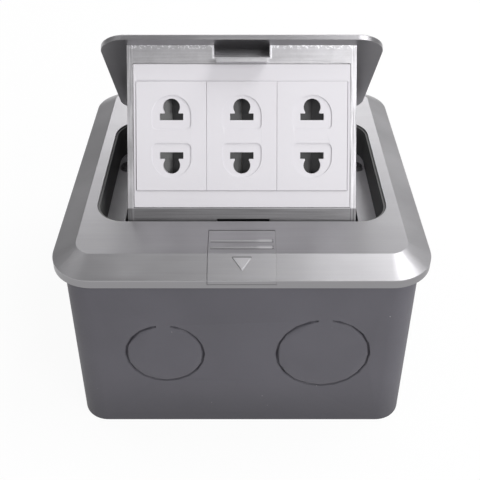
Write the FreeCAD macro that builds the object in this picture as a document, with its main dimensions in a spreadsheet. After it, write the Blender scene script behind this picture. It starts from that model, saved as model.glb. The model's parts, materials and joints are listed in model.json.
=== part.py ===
"""Floor socket box: a pop-up lid with three socket modules in a floor frame on a back box.

Millimetres. The origin is the centre of the back box's underside, +Z is up and -Y is the
front, where the slide button is. The lid stands open. Everything that rises is modelled as
it lies when shut, and is then turned about the hinge pin to where it rests open.
"""
import FreeCAD, Part
import math
import os
import re
import Sketcher

SIZES = [
    ("box_corner", 9.0, "its outer corner radius"),
    ("box_wall", 2.0, "its wall and floor"),
    ("box_deep", 66.0, "box underside to the floor line"),
    ("box_rim", 1.0, "how far the box's rim rises above the floor line"),
    ("seal_thick", 1.0, "rubber between the rim and the frame"),
    ("frame_border", 11.5, "frame from the recess out to its lip"),
    ("box_inset", 3.5, "box inside the frame's lip, all round"),
    ("frame_corner", 14.0, "corner radius of the lip"),
    ("lip_tall", 3.0, "upright edge of the lip"),
    ("bevel_rise", 4.2, "height of the bevel"),
    ("bevel_run", 7.7, "width of the bevel"),
    ("frame_wall", 2.2, "thickness of the frame's shell"),
    ("recess_beside", 11.05, "recess beyond the carrier, left and right"),
    ("recess_front", 36.2, "centre to the opening's front edge"),
    ("recess_rear", 28.0, "centre to its rear edge"),
    ("recess_corner", 10.0, "its corner radius"),
    ("recess_deep", 12.6, "flat top down to the ledge"),
    ("recess_wall", 1.5, "wall round the recess"),
    ("ledge_thick", 2.0, "ledge inside the recess"),
    ("ledge_side", 7.4, "width of the ledge left and right"),
    ("ledge_front", 1.8, "width of the ledge at the front"),
    ("ledge_rear", 3.5, "width of the ledge at the rear"),
    ("gasket_thick", 0.8, "rubber lining of the recess"),
    ("gasket_drop", 0.6, "flat top down to the lining's edge"),
    ("screw_inset", 4.0, "frame screws in from the recess's side walls"),
    ("screw_y", 14.0, "frame screws behind the middle"),
    ("screw_head", 2.7, "radius of the frame screw's head"),
    ("screw_shank", 1.65, "radius of its thread"),
    ("screw_long", 12.0, "length under its head"),
    ("lug_wide", 9.0, "screw lug of the box, along the wall"),
    ("lug_tall", 16.0, "its height"),
    ("knock_x_small", 25.5, "smaller knockout from the middle of a wall"),
    ("knock_x_large", 26.9, "larger knockout from the middle of a wall"),
    ("knock_up", 33.4, "knockouts above the box's underside"),
    ("knock_small", 13.3, "radius of the smaller knockout"),
    ("knock_large", 15.8, "radius of the larger knockout"),
    ("knock_slit", 0.9, "width and depth of its slit"),
    ("knock_bridge", 4.5, "bridge that holds the knockout"),
    ("fix_pitch", 70.0, "fixing holes in the box's floor, apart"),
    ("fix_hole", 2.25, "their radius"),
    ("lid_gap_side", 1.8, "lid to recess, left and right"),
    ("lid_gap_front", 1.0, "lid to recess, front"),
    ("lid_gap_rear", 1.5, "lid to recess, rear"),
    ("lid_thick", 2.0, "lid plate"),
    ("lid_screw_inset", 11.45, "lid screws in from the carrier's sides"),
    ("lid_corner", 9.4, "its corner radius"),
    ("pin_inset", 5.5, "pin's ends in from the recess's side walls"),
    ("pivot_back", 34.5, "hinge pin behind the middle"),
    ("pivot_drop", 4.2, "flat top down to the pin's axis"),
    ("pin_radius", 1.2, "hinge pin"),
    ("run_gap", 0.05, "running clearance round the pin"),
    ("open_angle", 51.0, "degrees from shut to open"),
    ("plate_angle", 69.2, "degrees between the lid and the socket plate"),
    ("plate_setback", 4.0, "lid's front edge back to the plate"),
    ("rim_side", 1.95, "its rim left and right"),
    ("rim_top", 6.0, "its rim under the lid"),
    ("rim_bottom", 5.1, "its rim at the bottom"),
    ("tray_deep", 2.4, "rim's face down to the tray's floor"),
    ("tray_floor", 1.4, "thickness of the tray's floor"),
    ("cheek_thick", 1.6, "carrier's side cheeks"),
    ("boss_radius", 2.2, "round end of a hinge arm"),
    ("arm_wide", 3.4, "hinge arm"),
    ("arm_angle", 58.0, "hinge arm's slope below the level, shut"),
    ("relief_radius", 9.8, "round cut in the cheek that clears the frame's edge"),
    ("notch_wide", 18.2, "latch notch in the top rim"),
    ("notch_deep", 3.8, "its depth"),
    ("catch_low", 4.6, "lid down to the catch lip in the notch"),
    ("catch_thick", 1.2, "thickness of the catch lip"),
    ("catch_reach", 5.4, "how far the catch stands out of the plate"),
    ("fit_gap", 0.1, "clearance round the insert and the modules"),
    ("insert_side", 1.0, "white insert beside the modules"),
    ("insert_above", 5.85, "insert above the modules"),
    ("insert_below", 5.75, "insert below them"),
    ("module_pitch", 23.0, "width of a socket module"),
    ("module_tall", 35.6, "its height"),
    ("module_proud", 0.3, "how far its face stands out"),
    ("module_deep", 17.0, "depth of its front half"),
    ("module_wall", 1.2, "its side wall"),
    ("module_face", 1.9, "its face"),
    ("base_thick", 5.0, "its rear half"),
    ("round_pitch", 19.05, "round pin openings, apart"),
    ("round_hole", 2.8, "their radius"),
    ("slot_pitch", 12.7, "flat pin openings, apart"),
    ("slot_wide", 7.7, "their width"),
    ("slot_tall", 2.2, "their height"),
    ("neck_wide", 4.65, "neck between round and flat opening"),
    ("pad_wide", 12.9, "sunk pad round an opening"),
    ("pad_near", 2.2, "pad's straight edge from the module's middle"),
    ("pad_far", 13.5, "pad's arched end from the module's middle"),
    ("pad_corner", 1.9, "its corner radius"),
    ("pad_sunk", 0.35, "its depth"),
    ("leaf_wide", 6.2, "shutter leaf"),
    ("leaf_thick", 3.2, "its thickness"),
    ("leaf_end", 4.2, "module's end to the leaf's end"),
    ("leaf_slope", 4.3, "width of its slope"),
    ("leaf_gap", 0.15, "leaf behind the face, and either side of the middle"),
    ("button_wide", 21.0, "slide button"),
    ("button_set", 4.6, "recess's front edge to the button"),
    ("button_thick", 1.5, "its thickness"),
    ("button_gap", 0.15, "gap round it"),
    ("button_travel", 4.0, "how far it slides out"),
    ("ridge_tall", 0.5, "finger ridges on it"),
    ("ridge_wide", 1.4, "width of a ridge"),
    ("ridge_set", 5.3, "button's rear edge to the rear ridge"),
    ("ridge_pitch", 3.2, "between the ridges"),
    ("arrow_inset", 2.8, "frame's front edge to the arrow's point"),
    ("arrow_long", 3.6, "arrow from its point to its straight edge"),
    ("arrow_half", 2.9, "half the arrow's width"),
    ("arrow_tall", 0.4, "arrow above the bevel"),
    ("stem_wide", 8.0, "button's stem"),
    ("stem_set", 7.2, "recess's front edge to the stem"),
    ("stem_thick", 3.0, "its thickness"),
    ("nose_wide", 15.6, "latch nose"),
    ("nose_reach", 2.6, "how far its tip stands into the recess"),
    ("nose_slot", 1.4, "slot that clears it, from the carrier's bottom edge"),
    ("nose_thick", 2.2, "its thickness"),
    ("nose_drop", 5.6, "flat top down to the nose"),
    ("slider_set", 11.4, "recess's front edge to the latch slider's front end"),
    ("guide_thick", 1.2, "plate that holds the slider up"),
    ("coil_radius", 2.1, "hinge spring, middle of its wire"),
    ("coil_wire", 0.32, "radius of its wire"),
    ("coil_turns", 4.0, "its turns"),
    ("coil_pitch", 1.15, "from turn to turn"),
    ("coil_leg", 9.2, "its legs"),
    ("leg_slope", 26.0, "degrees its rear leg rises"),
    ("spring_radius", 0.8, "latch spring, middle of its wire"),
    ("spring_wire", 0.18, "radius of its wire"),
    ("spring_turns", 5.0, "its turns"),
    ("spring_set", 6.8, "recess's front edge to the latch springs"),
    ("spring_x", 5.9, "latch springs from the middle"),
]

# Sizes that follow from others: the modules set the carrier, and that sets the frame and the box
FOLLOWING = [
    ("module_low", "rim_top + insert_above + module_tall / 2", "centre of the modules below the lid"),
    ("plate_tall", "module_low + module_tall / 2 + insert_below + rim_bottom", "carrier, from the lid down"),
    ("plate_wide", "3 * module_pitch + 2 * rim_side + 2 * insert_side", "carrier, across its cheeks"),
    ("recess_wide", "plate_wide + 2 * recess_beside", "opening for the lid"),
    ("frame_side", "recess_wide + 2 * frame_border", "floor frame, across its lip"),
    ("box_side", "frame_side - 2 * box_inset", "back box, across"),
    ("screw_x", "recess_wide / 2 - screw_inset", "frame screws from the middle"),
    ("lid_screw_x", "plate_wide / 2 - lid_screw_inset", "lid screws from the middle"),
    ("pin_long", "recess_wide - 2 * pin_inset", "length of the hinge pin"),
    ("slot_low", "plate_tall - nose_slot", "lid down to the slot that clears the nose"),
    ("leaf_tall", "module_tall - 2 * leaf_end", "height of a shutter leaf"),
    ("button_rear", "recess_front + button_set", "centre to the button's rear edge"),
    ("ridge_first", "button_rear + ridge_set", "centre to the rear ridge"),
    ("arrow_front", "frame_side / 2 - arrow_inset", "centre to the arrow's point"),
    ("arrow_rear", "arrow_front - arrow_long", "centre to its straight edge"),
    ("stem_rear", "recess_front + stem_set", "centre to the stem's rear face"),
    ("nose_tip", "recess_front - nose_reach", "centre to the nose's tip"),
    ("slider_front", "recess_front + slider_set", "centre to the latch slider's front end"),
    ("spring_end", "recess_front + spring_set", "centre to the latch springs' rear ends"),
]

doc = FreeCAD.newDocument("FloorSocketBox")
sheet = doc.addObject("Spreadsheet::Sheet", "Sizes")
ROWS = SIZES + [(alias, f"={formula}", meaning) for alias, formula, meaning in FOLLOWING]
for row, (alias, number, meaning) in enumerate(ROWS, start=1):
    sheet.set(f"A{row}", meaning)
    sheet.setAlias(f"B{row}", alias)
for row, (alias, number, meaning) in enumerate(ROWS, start=1):
    sheet.set(f"B{row}", str(number))
doc.recompute()

ALIASES = re.compile(r"\b(" + "|".join(alias for alias, _, _ in ROWS) + r")\b")
PARTS = {}

# Heights and places that several pieces share, each worked out from the sizes above
FRAME_TOP = "(box_deep + lip_tall + bevel_rise)"
BEVEL_FOOT = "(box_deep + lip_tall)"
LEDGE_TOP = f"({FRAME_TOP} - recess_deep)"
LEDGE_UNDER = f"({LEDGE_TOP} - ledge_thick)"
HALF_FRAME = "(frame_side / 2)"
HALF_BOX = "(box_side / 2)"
HALF_RECESS = "(recess_wide / 2)"
SEAL_TOP = "(box_deep + box_rim + seal_thick)"
PIN_Z = f"({FRAME_TOP} - pivot_drop)"
LID_UNDER = f"({FRAME_TOP} - lid_thick)"
LID_FRONT = "(lid_gap_front - recess_front)"
LID_REAR = "(recess_rear - lid_gap_rear)"
PLATE_Y = f"({LID_FRONT} + plate_setback)"
CHEEK_OUT = "(plate_wide / 2)"
CHEEK_IN = "(plate_wide / 2 - cheek_thick)"
NOSE_TOP = f"({FRAME_TOP} - nose_drop)"
NOSE_UNDER = f"({NOSE_TOP} - nose_thick)"
STRIP_UNDER = f"({FRAME_TOP} - frame_wall)"
SPRING_SEAT = "(box_side / 2 - box_wall - 0.7)"
SCREW_SIDES = 12
KNOCK_SIDES = 20
LID_SCREW_SPOTS = [(-1, "-17"), (1, "-17"), (1, "12"), (-1, "12")]


def linked(formula):
    """The formula with each size's alias pointing into the spreadsheet."""
    return ALIASES.sub(r"Sizes.\1", str(formula))


def value(formula):
    """What a formula comes to now."""
    return float(sheet.evalExpression(linked(formula)))


def bind(item, prop, formula):
    item.setExpression(prop, linked(formula))


def place(item, x, y, z):
    for axis, formula in zip("xyz", (x, y, z)):
        bind(item, f"Placement.Base.{axis}", formula)
    return item


def block(name, x, y, z):
    """A box between two formulas along each axis."""
    item = doc.addObject("Part::Box", name)
    for prop, (low, high) in zip(("Length", "Width", "Height"), (x, y, z)):
        bind(item, prop, f"({high}) - ({low})")
    return place(item, x[0], y[0], z[0])


TURNS = {
    "z": FreeCAD.Rotation(),
    "x": FreeCAD.Rotation(FreeCAD.Vector(0, 1, 0), 90),
    "y": FreeCAD.Rotation(FreeCAD.Vector(1, 0, 0), -90),
}


def rod(name, radius, length, x=0, y=0, z=0, along="z", sides=0):
    """A cylinder that starts at a point and runs along an axis, or a prism that stands for it."""
    if sides:
        item = doc.addObject("Part::Prism", name)
        item.Polygon = sides
        bind(item, "Circumradius", radius)
    else:
        item = doc.addObject("Part::Cylinder", name)
        bind(item, "Radius", radius)
    bind(item, "Height", length)
    item.Placement = FreeCAD.Placement(FreeCAD.Vector(), TURNS[along])
    return place(item, x, y, z)


def cut(name, base, *tools):
    item = doc.addObject("Part::Cut", name)
    item.Base = base
    item.Tool = tools[0] if len(tools) == 1 else fuse(name + "_tools", *tools)
    item.Refine = True
    return item


def fuse(name, *pieces):
    item = doc.addObject("Part::MultiFuse", name)
    item.Shapes = list(pieces)
    item.Refine = True
    return item


def group(name, *pieces):
    """Separate solids in one object."""
    item = doc.addObject("Part::Compound", name)
    item.Links = list(pieces)
    return item


def mirrored(name, source, normal=(1, 0, 0)):
    item = doc.addObject("Part::Mirroring", name)
    item.Source = source
    item.Normal = FreeCAD.Vector(*normal)
    return item


def fix(sketch, kind, geometry, point, formula):
    """A distance from the sketch's origin to a point, bound to its formula."""
    index = sketch.addConstraint(
        Sketcher.Constraint(kind, -1, 1, geometry, point, value(formula))
    )
    bind(sketch, f"Constraints[{index}]", formula)


def outline(name, points, sketch=None):
    """A closed sketch of straight lines through points given as formulas."""
    sketch = sketch or doc.addObject("Sketcher::SketchObject", name)
    corners = [FreeCAD.Vector(value(a), value(b), 0) for a, b in points]
    count = len(corners)
    for i in range(count):
        sketch.addGeometry(Part.LineSegment(corners[i], corners[(i + 1) % count]))
    for i in range(count):
        sketch.addConstraint(Sketcher.Constraint("Coincident", i, 2, (i + 1) % count, 1))
    for i, (a, b) in enumerate(points):
        fix(sketch, "DistanceX", i, 1, a)
        fix(sketch, "DistanceY", i, 1, b)
    return sketch


def rounded(name, x, y, radius, sketch=None):
    """A closed sketch of a rectangle with round corners."""
    sketch = sketch or doc.addObject("Sketcher::SketchObject", name)
    (left, right), (low, high) = [[value(side) for side in pair] for pair in (x, y)]
    r = value(radius)
    quarter = math.pi / 2
    centres = [(left + r, low + r), (right - r, low + r), (right - r, high - r), (left + r, high - r)]
    for i, (cx, cy) in enumerate(centres):
        start = math.pi + i * quarter
        circle = Part.Circle(FreeCAD.Vector(cx, cy, 0), FreeCAD.Vector(0, 0, 1), r)
        sketch.addGeometry(Part.ArcOfCircle(circle, start, start + quarter))
    sides = [
        ((left + r, low), (right - r, low)),
        ((right, low + r), (right, high - r)),
        ((right - r, high), (left + r, high)),
        ((left, high - r), (left, low + r)),
    ]
    for begin, end in sides:
        sketch.addGeometry(Part.LineSegment(FreeCAD.Vector(*begin, 0), FreeCAD.Vector(*end, 0)))
    for i in range(4):
        line = 4 + i
        sketch.addConstraint(Sketcher.Constraint("Tangent", i, 2, line, 1))
        sketch.addConstraint(Sketcher.Constraint("Tangent", line, 2, (i + 1) % 4, 1))
        level = "Horizontal" if i % 2 == 0 else "Vertical"
        sketch.addConstraint(Sketcher.Constraint(level, line))
    fix(sketch, "DistanceY", 4, 1, y[0])
    fix(sketch, "DistanceX", 5, 1, x[1])
    fix(sketch, "DistanceY", 6, 1, y[1])
    fix(sketch, "DistanceX", 7, 1, x[0])
    for i in range(1, 4):
        sketch.addConstraint(Sketcher.Constraint("Equal", 0, i))
    index = sketch.addConstraint(Sketcher.Constraint("Radius", 0, r))
    bind(sketch, f"Constraints[{index}]", radius)
    return sketch


def raise_up(name, sketch, length):
    item = doc.addObject("Part::Extrusion", name)
    item.Base = sketch
    item.DirMode = "Normal"
    item.Solid = True
    bind(item, "LengthFwd", length)
    return item


def rounded_block(name, x, y, radius, z):
    """An upright prism with round corners between two heights."""
    sketch = rounded(name + "_outline", x, y, radius)
    place(sketch, 0, 0, z[0])
    return raise_up(name, sketch, f"({z[1]}) - ({z[0]})")


def eight_sided(name, half, corner, z):
    """A centred square prism with its corners cut off straight."""
    short = f"({half} - {corner})"
    spots = [
        (half, short), (short, half), (f"-{short}", half), (f"-({half})", short),
        (f"-({half})", f"-{short}"), (f"-{short}", f"-({half})"), (short, f"-({half})"), (half, f"-{short}"),
    ]
    sketch = outline(name + "_outline", spots)
    place(sketch, 0, 0, z[0])
    return raise_up(name, sketch, f"({z[1]}) - ({z[0]})")


def square(half, shift=0):
    """Both sides of a centred square."""
    side = f"({half}) - ({shift})"
    return (f"-({side})", side), (f"-({side})", side)


# A sketch across X holds Y and Z, and one across Y holds X and Z
ACROSS_X = FreeCAD.Rotation(FreeCAD.Vector(1, 1, 1), 120)
ACROSS_Y = FreeCAD.Rotation(FreeCAD.Vector(1, 0, 0), 90)


def slab_x(name, points, x):
    """A prism along X from a Y and Z outline."""
    sketch = outline(name + "_outline", points)
    sketch.Placement = FreeCAD.Placement(FreeCAD.Vector(), ACROSS_X)
    place(sketch, x[0], 0, 0)
    return raise_up(name, sketch, f"({x[1]}) - ({x[0]})")


def slab_y(name, points, y):
    """A prism along Y from an X and Z outline."""
    sketch = outline(name + "_outline", points)
    sketch.Placement = FreeCAD.Placement(FreeCAD.Vector(), ACROSS_Y)
    place(sketch, 0, y[1], 0)
    return raise_up(name, sketch, f"({y[1]}) - ({y[0]})")


def body_with_sketch(name, plane):
    """A PartDesign body and an empty sketch on one of its own planes."""
    body = doc.addObject("PartDesign::Body", name)
    sketch = body.newObject("Sketcher::SketchObject", name + "_sketch")
    features = body.Origin.OriginFeatures
    sketch.AttachmentSupport = (next(f for f in features if f.Role == plane), [""])
    sketch.MapMode = "FlatFace"
    return body, sketch


def bevelled(name, half, corner, low, high, rise, run):
    """A round-cornered square plate with a wide bevel round its top."""
    body, sketch = body_with_sketch(name, "XY_Plane")
    rounded(name + "_outline", *square(half), corner, sketch)
    pad = body.newObject("PartDesign::Pad", name + "_pad")
    pad.Profile = sketch
    bind(pad, "Length", f"({high}) - ({low})")
    doc.recompute()
    top = max(range(len(pad.Shape.Faces)), key=lambda i: pad.Shape.Faces[i].CenterOfMass.z)
    bevel = body.newObject("PartDesign::Chamfer", name + "_bevel")
    bevel.Base = (pad, [f"Face{top + 1}"])
    bevel.ChamferType = "Two distances"
    bind(bevel, "Size", rise)
    bind(bevel, "Size2", run)
    return place(body, 0, 0, low)


def plain_screw(name, head, head_tall, shank, length, x, y, z):
    """A screw with its head's underside at z and its shank below, as plain prisms."""
    top = rod(f"{name}_head", head, head_tall, x, y, z, sides=SCREW_SIDES)
    stem = rod(f"{name}_stem", shank, length, x, y, f"({z}) - ({length})", sides=SCREW_SIDES)
    return fuse(name, top, stem)


def hung_screw(name, head, head_tall, shank, length, x, y, z):
    """The same screw put in from below, with its head under z."""
    top = rod(f"{name}_head", head, head_tall, x, y, f"({z}) - ({head_tall})", sides=SCREW_SIDES)
    stem = rod(f"{name}_stem", shank, length, x, y, z, sides=SCREW_SIDES)
    return fuse(name, top, stem)


def keep(node, item, pose=None):
    """Name a finished piece, and turn it to its pose if it has one."""
    item.Label = node
    PARTS[node] = (item, pose)
    return item


def back_box():
    rim = "box_deep + box_rim"
    outer = rounded_block("box_outer", *square(HALF_BOX), "box_corner", ("0", rim))
    inner = rounded_block(
        "box_inner", *square(HALF_BOX, "box_wall"), "box_corner - box_wall", ("box_wall", f"{rim} + 1")
    )
    shell = cut("box_shell", outer, inner)
    lug = slab_y(
        "box_lug",
        [
            (f"{HALF_BOX} - box_wall", f"{LEDGE_UNDER} - lug_tall"),
            (f"{HALF_BOX} - box_wall", LEDGE_UNDER),
            (f"{HALF_RECESS} - ledge_side", LEDGE_UNDER),
            (f"{HALF_RECESS} - ledge_side", f"{LEDGE_UNDER} - lug_tall * 0.45"),
        ],
        ("screw_y - lug_wide / 2", "screw_y + lug_wide / 2"),
    )
    lugs = fuse("box_lugs", lug, mirrored("box_lug_left", lug))
    cuts = [
        rod(
            f"box_thread_{side}", "screw_shank", "lug_tall", f"{sign}screw_x", "screw_y",
            f"{LEDGE_UNDER} - lug_tall", sides=SCREW_SIDES,
        )
        for side, sign in (("left", "-"), ("right", ""))
    ]
    for i, (a, b) in enumerate(((-1, -1), (1, -1), (1, 1), (-1, 1))):
        cuts.append(
            rod(
                f"box_fix_{i}", "fix_hole", "box_wall + 2", f"{a} * fix_pitch / 2",
                f"{b} * fix_pitch / 2", "-1",
            )
        )
    slits = knockout_slits()
    pad = rod("box_earth_pad", "4.5", "box_wall + 2.5", "-fix_pitch / 2", 0, 0, sides=16)
    keep("back_box", cut("box_done", fuse("box_solid", shell, lugs, pad), *cuts, *slits))


def knockout_slits():
    """Round slits that stop short of closing, two in each of the four walls."""
    slits = []
    for mark, radius, sign in (("small", "knock_small", "-"), ("large", "knock_large", "")):
        x = f"{sign}knock_x_{mark}"
        front = f"-{HALF_BOX} - 1"
        ring = cut(
            f"slit_{mark}_ring",
            rod(f"slit_{mark}_out", radius, "knock_slit + 1", x, front, "knock_up", "y", KNOCK_SIDES),
            rod(
                f"slit_{mark}_in", f"{radius} - knock_slit", "knock_slit + 3", x, f"{front} - 1",
                "knock_up", "y", KNOCK_SIDES,
            ),
            block(
                f"slit_{mark}_bridge",
                (f"{x} - knock_bridge / 2", f"{x} + knock_bridge / 2"),
                (f"{front} - 1", f"{front} + knock_slit + 2"),
                ("knock_up", f"knock_up + {radius} + 1"),
            ),
        )
        slits.append(ring)
        for i, angle in enumerate((90, 180, 270)):
            turned = doc.addObject("App::Link", f"slit_{mark}_{i}")
            turned.LinkedObject = ring
            turned.Placement = FreeCAD.Placement(
                FreeCAD.Vector(), FreeCAD.Rotation(FreeCAD.Vector(0, 0, 1), angle)
            )
            turned.LinkTransform = True
            slits.append(turned)
    return slits


def box_seal():
    z = ("box_deep + box_rim", SEAL_TOP)
    outer = rounded_block("seal_outer", *square(HALF_BOX), "box_corner", z)
    inner = rounded_block(
        "seal_inner", *square(HALF_BOX, "box_wall"), "box_corner - box_wall", (z[0] + " - 1", z[1] + " + 1")
    )
    keep("box_seal", cut("seal_done", outer, inner))


def recess(name, inset, z, radius="recess_corner"):
    """A prism of the recess's outline, moved inwards by inset."""
    return rounded_block(
        name,
        (f"({inset}) - {HALF_RECESS}", f"{HALF_RECESS} - ({inset})"),
        (f"({inset}) - recess_front", f"recess_rear - ({inset})"),
        f"{radius} - ({inset})",
        z,
    )


def floor_frame():
    solid = bevelled(
        "frame_solid", HALF_FRAME, "frame_corner", "box_deep", FRAME_TOP, "bevel_rise", "bevel_run",
    )
    hollows = [
        eight_sided(
            "frame_under", f"{HALF_FRAME} - frame_wall", "frame_corner / 2", ("box_deep - 1", BEVEL_FOOT),
        ),
        eight_sided(
            "frame_core", f"{HALF_FRAME} - bevel_run", "frame_corner / 2", ("box_deep - 1", STRIP_UNDER),
        ),
    ]
    shell = cut("frame_shell", solid, *hollows)
    wall = recess("frame_wall_tube", "-recess_wall", (LEDGE_UNDER, STRIP_UNDER + " + 0.5"))
    rib = cut(
        "frame_rib",
        rounded_block("frame_rib_out", *square(HALF_BOX), "box_corner", (SEAL_TOP, f"{BEVEL_FOOT} + 0.8")),
        rounded_block(
            "frame_rib_in", *square(HALF_BOX, "box_wall"), "box_corner - box_wall", (SEAL_TOP, FRAME_TOP)
        ),
    )
    added = [shell, wall, rib, latch_block(), hinge_lugs()]
    opening = recess("frame_recess", "0", (LEDGE_TOP, FRAME_TOP + " + 1"))
    ledge_hole = block(
        "frame_ledge_hole",
        (f"ledge_side - {HALF_RECESS}", f"{HALF_RECESS} - ledge_side"),
        ("ledge_front - recess_front", "recess_rear - ledge_rear"),
        (f"{LEDGE_UNDER} - 1", FRAME_TOP),
    )
    keep("floor_frame", cut("frame_done", fuse("frame_all", *added), opening, ledge_hole, *frame_cuts()))


def latch_block():
    """Thick metal under the button's channel, which guides the stem and the nose."""
    body = block(
        "latch_block_body", ("-button_wide / 2 - 2.5", "button_wide / 2 + 2.5"),
        (f"box_wall - {HALF_BOX}", "-recess_front"), (NOSE_TOP, f"{STRIP_UNDER} + 0.5"),
    )
    seat = block(
        "latch_block_seat", ("-button_wide / 2 - 2.5", "button_wide / 2 + 2.5"),
        (f"0.2 - {SPRING_SEAT} - 0.6", f"-{SPRING_SEAT}"),
        (NOSE_UNDER, f"{NOSE_TOP} + 0.2"),
    )
    fore = slab_x(
        "latch_block_fore",
        [
            (f"frame_wall - {HALF_FRAME}", SEAL_TOP),
            (f"box_wall - {HALF_BOX}", SEAL_TOP),
            (f"box_wall - {HALF_BOX}", f"{STRIP_UNDER} + 0.2"),
            (f"frame_wall - {HALF_FRAME}", f"{BEVEL_FOOT} - 0.4"),
        ],
        ("-button_wide / 2 - 2.5", "button_wide / 2 + 2.5"),
    )
    return fuse("latch_block", body, seat, fore)


def hinge_lugs():
    """Two lugs that hold the ends of the hinge pin."""
    sides = []
    for side, inner, outer in (("right", f"{CHEEK_OUT} + 0.6", f"{CHEEK_OUT} + 3.4"),
                               ("left", f"-{CHEEK_OUT} - 3.4", f"-{CHEEK_OUT} - 0.6")):
        lug = block(
            f"lug_{side}", (inner, outer), ("pivot_back - 2.8", "pivot_back + 2.8"),
            (PIN_Z, f"{STRIP_UNDER} + 0.5"),
        )
        eye = rod(f"lug_{side}_eye", "2.8", f"({outer}) - ({inner})", inner, "pivot_back", PIN_Z, "x", 24)
        sides += [lug, eye]
    return fuse("hinge_lugs", *sides)


def frame_cuts():
    """Screw holes, hinge slots, the pin's holes, the latch's channel and its slots."""
    cuts = []
    for side, sign in (("left", "-"), ("right", "")):
        x = f"{sign}screw_x"
        for mark, radius, low in (
            ("hole", "screw_shank + 0.2", f"{LEDGE_UNDER} - 1"), ("sink", "screw_head + 0.3",
            f"{LEDGE_TOP} - 0.8"),
        ):
            cuts.append(
                rod(f"ledge_{mark}_{side}", radius, "ledge_thick + 2", x, "screw_y", low,
                sides=SCREW_SIDES),
            )
    reach = f"({CHEEK_OUT} + 0.6)"
    for side, low, high in (("right", f"{CHEEK_IN} - 3", reach), ("left", f"-{reach}", f"3 - {CHEEK_IN}")):
        cuts.append(
            block(
                f"arm_slot_{side}", (low, high), ("recess_rear - ledge_rear - 1",
                "recess_rear + recess_wall + 1"),
                (f"{LEDGE_UNDER} - 1", STRIP_UNDER),
            )
        )
    cuts.append(
        block(
            "hinge_relief", (f"-{reach}", reach), ("recess_rear + recess_wall", "pivot_back + coil_leg + 3"),
            (f"{LEDGE_UNDER} - 1", f"{PIN_Z} + boss_radius + 0.35"),
        )
    )
    cuts.append(rod("pin_hole", "pin_radius", "pin_long", "-pin_long / 2", "pivot_back", PIN_Z, "x"))
    half = "button_wide / 2 + button_gap"
    cuts.append(
        slab_x(
            "channel", button_profile("button_gap", "button_gap", 1.0), (f"-({half})", half)
        )
    )
    cuts.append(
        block(
            "stem_slot", ("-stem_wide / 2 - button_gap", "stem_wide / 2 + button_gap"),
            ("-stem_rear - stem_thick - button_travel - 0.3", "0.3 - stem_rear"), (NOSE_TOP + " - 1",
            FRAME_TOP),
        )
    )
    cuts.append(
        block(
            "nose_slot", ("-nose_wide / 2 - 0.3", "nose_wide / 2 + 0.3"),
            ("-recess_front - recess_wall - 1", "1 - recess_front + ledge_front"),
            (f"{NOSE_UNDER} - guide_thick - 0.4", f"{NOSE_TOP} + 0.2"),
        )
    )
    return cuts


def button_profile(under, behind, above=0.0):
    """Outline of the button across X: flat top, bevel and a bottom that follows them."""
    flat_end = f"bevel_run - {HALF_FRAME}"
    drop = f"{above} * bevel_rise / (bevel_run + 0.4)"
    return [
        (f"-button_rear + {behind}", f"{FRAME_TOP} + {above}"),
        (f"-button_rear + {behind}", f"{FRAME_TOP} - button_thick - {under}"),
        (f"{flat_end} + 0.4", f"{FRAME_TOP} - button_thick - {under}"),
        (f"-{HALF_FRAME} - {above}", f"{BEVEL_FOOT} - button_thick - {under} - {drop}"),
        (f"-{HALF_FRAME} - {above}", f"{BEVEL_FOOT} + {above}"),
        (flat_end, f"{FRAME_TOP} + {above}"),
    ]


def frame_gasket():
    z = (LEDGE_TOP, f"{FRAME_TOP} - gasket_drop")
    outer = recess("gasket_outer", "0", z)
    inner = recess("gasket_inner", "gasket_thick", (z[0] + " - 1", z[1] + " + 1"))
    slots = [
        block(
            "gasket_nose_slot", ("-nose_wide / 2 - 0.4", "nose_wide / 2 + 0.4"),
            ("-recess_front - 1", "2 - recess_front"), (f"{LEDGE_TOP} - 1", f"{NOSE_TOP} + 0.5"),
        )
    ]
    for side, low, high in (("right", f"{CHEEK_IN} - 3", f"{CHEEK_OUT} + 0.6"),
                            ("left", f"-{CHEEK_OUT} - 0.6", f"3 - {CHEEK_IN}")):
        slots.append(
            block(
                f"gasket_arm_slot_{side}", (low, high), ("recess_rear - 3", "recess_rear + 1"),
                (f"{LEDGE_TOP} - 1", STRIP_UNDER),
            )
        )
    keep("frame_gasket", cut("gasket_done", outer, inner, *slots))


def frame_screws():
    screws = [
        plain_screw(
            f"frame_screw_{side}", "screw_head", "1.9", "screw_shank", "screw_long - 0.8",
            f"{sign}screw_x", "screw_y", f"{LEDGE_TOP} - 0.8",
        )
        for side, sign in (("left", "-"), ("right", ""))
    ]
    keep("frame_screws", group("frame_screw_pair", *screws))


def hinge_pin():
    body, sketch = body_with_sketch("pin_body", "XZ_Plane")
    half, neck, edge = "pin_long / 2", "pin_radius - 0.3", "pin_long / 2 - 1.2"
    side = [
        ("0", f"-{half}"), ("pin_radius", f"-{half}"), ("pin_radius", f"-({edge})"), (neck, f"-({edge})"),
        (neck, f"0.5 - ({edge})"), ("pin_radius", f"0.5 - ({edge})"), ("pin_radius", f"({edge}) - 0.5"),
        (neck, f"({edge}) - 0.5"), (neck, edge), ("pin_radius", edge), ("pin_radius", half), ("0", half),
    ]
    outline("pin", side, sketch)
    turn = body.newObject("PartDesign::Revolution", "pin_turned")
    turn.Profile = sketch
    turn.ReferenceAxis = (sketch, ["V_Axis"])
    turn.Angle = 360
    body.Placement = FreeCAD.Placement(FreeCAD.Vector(), TURNS["x"])
    keep("hinge_pin", place(body, 0, "pivot_back", PIN_Z))


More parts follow.
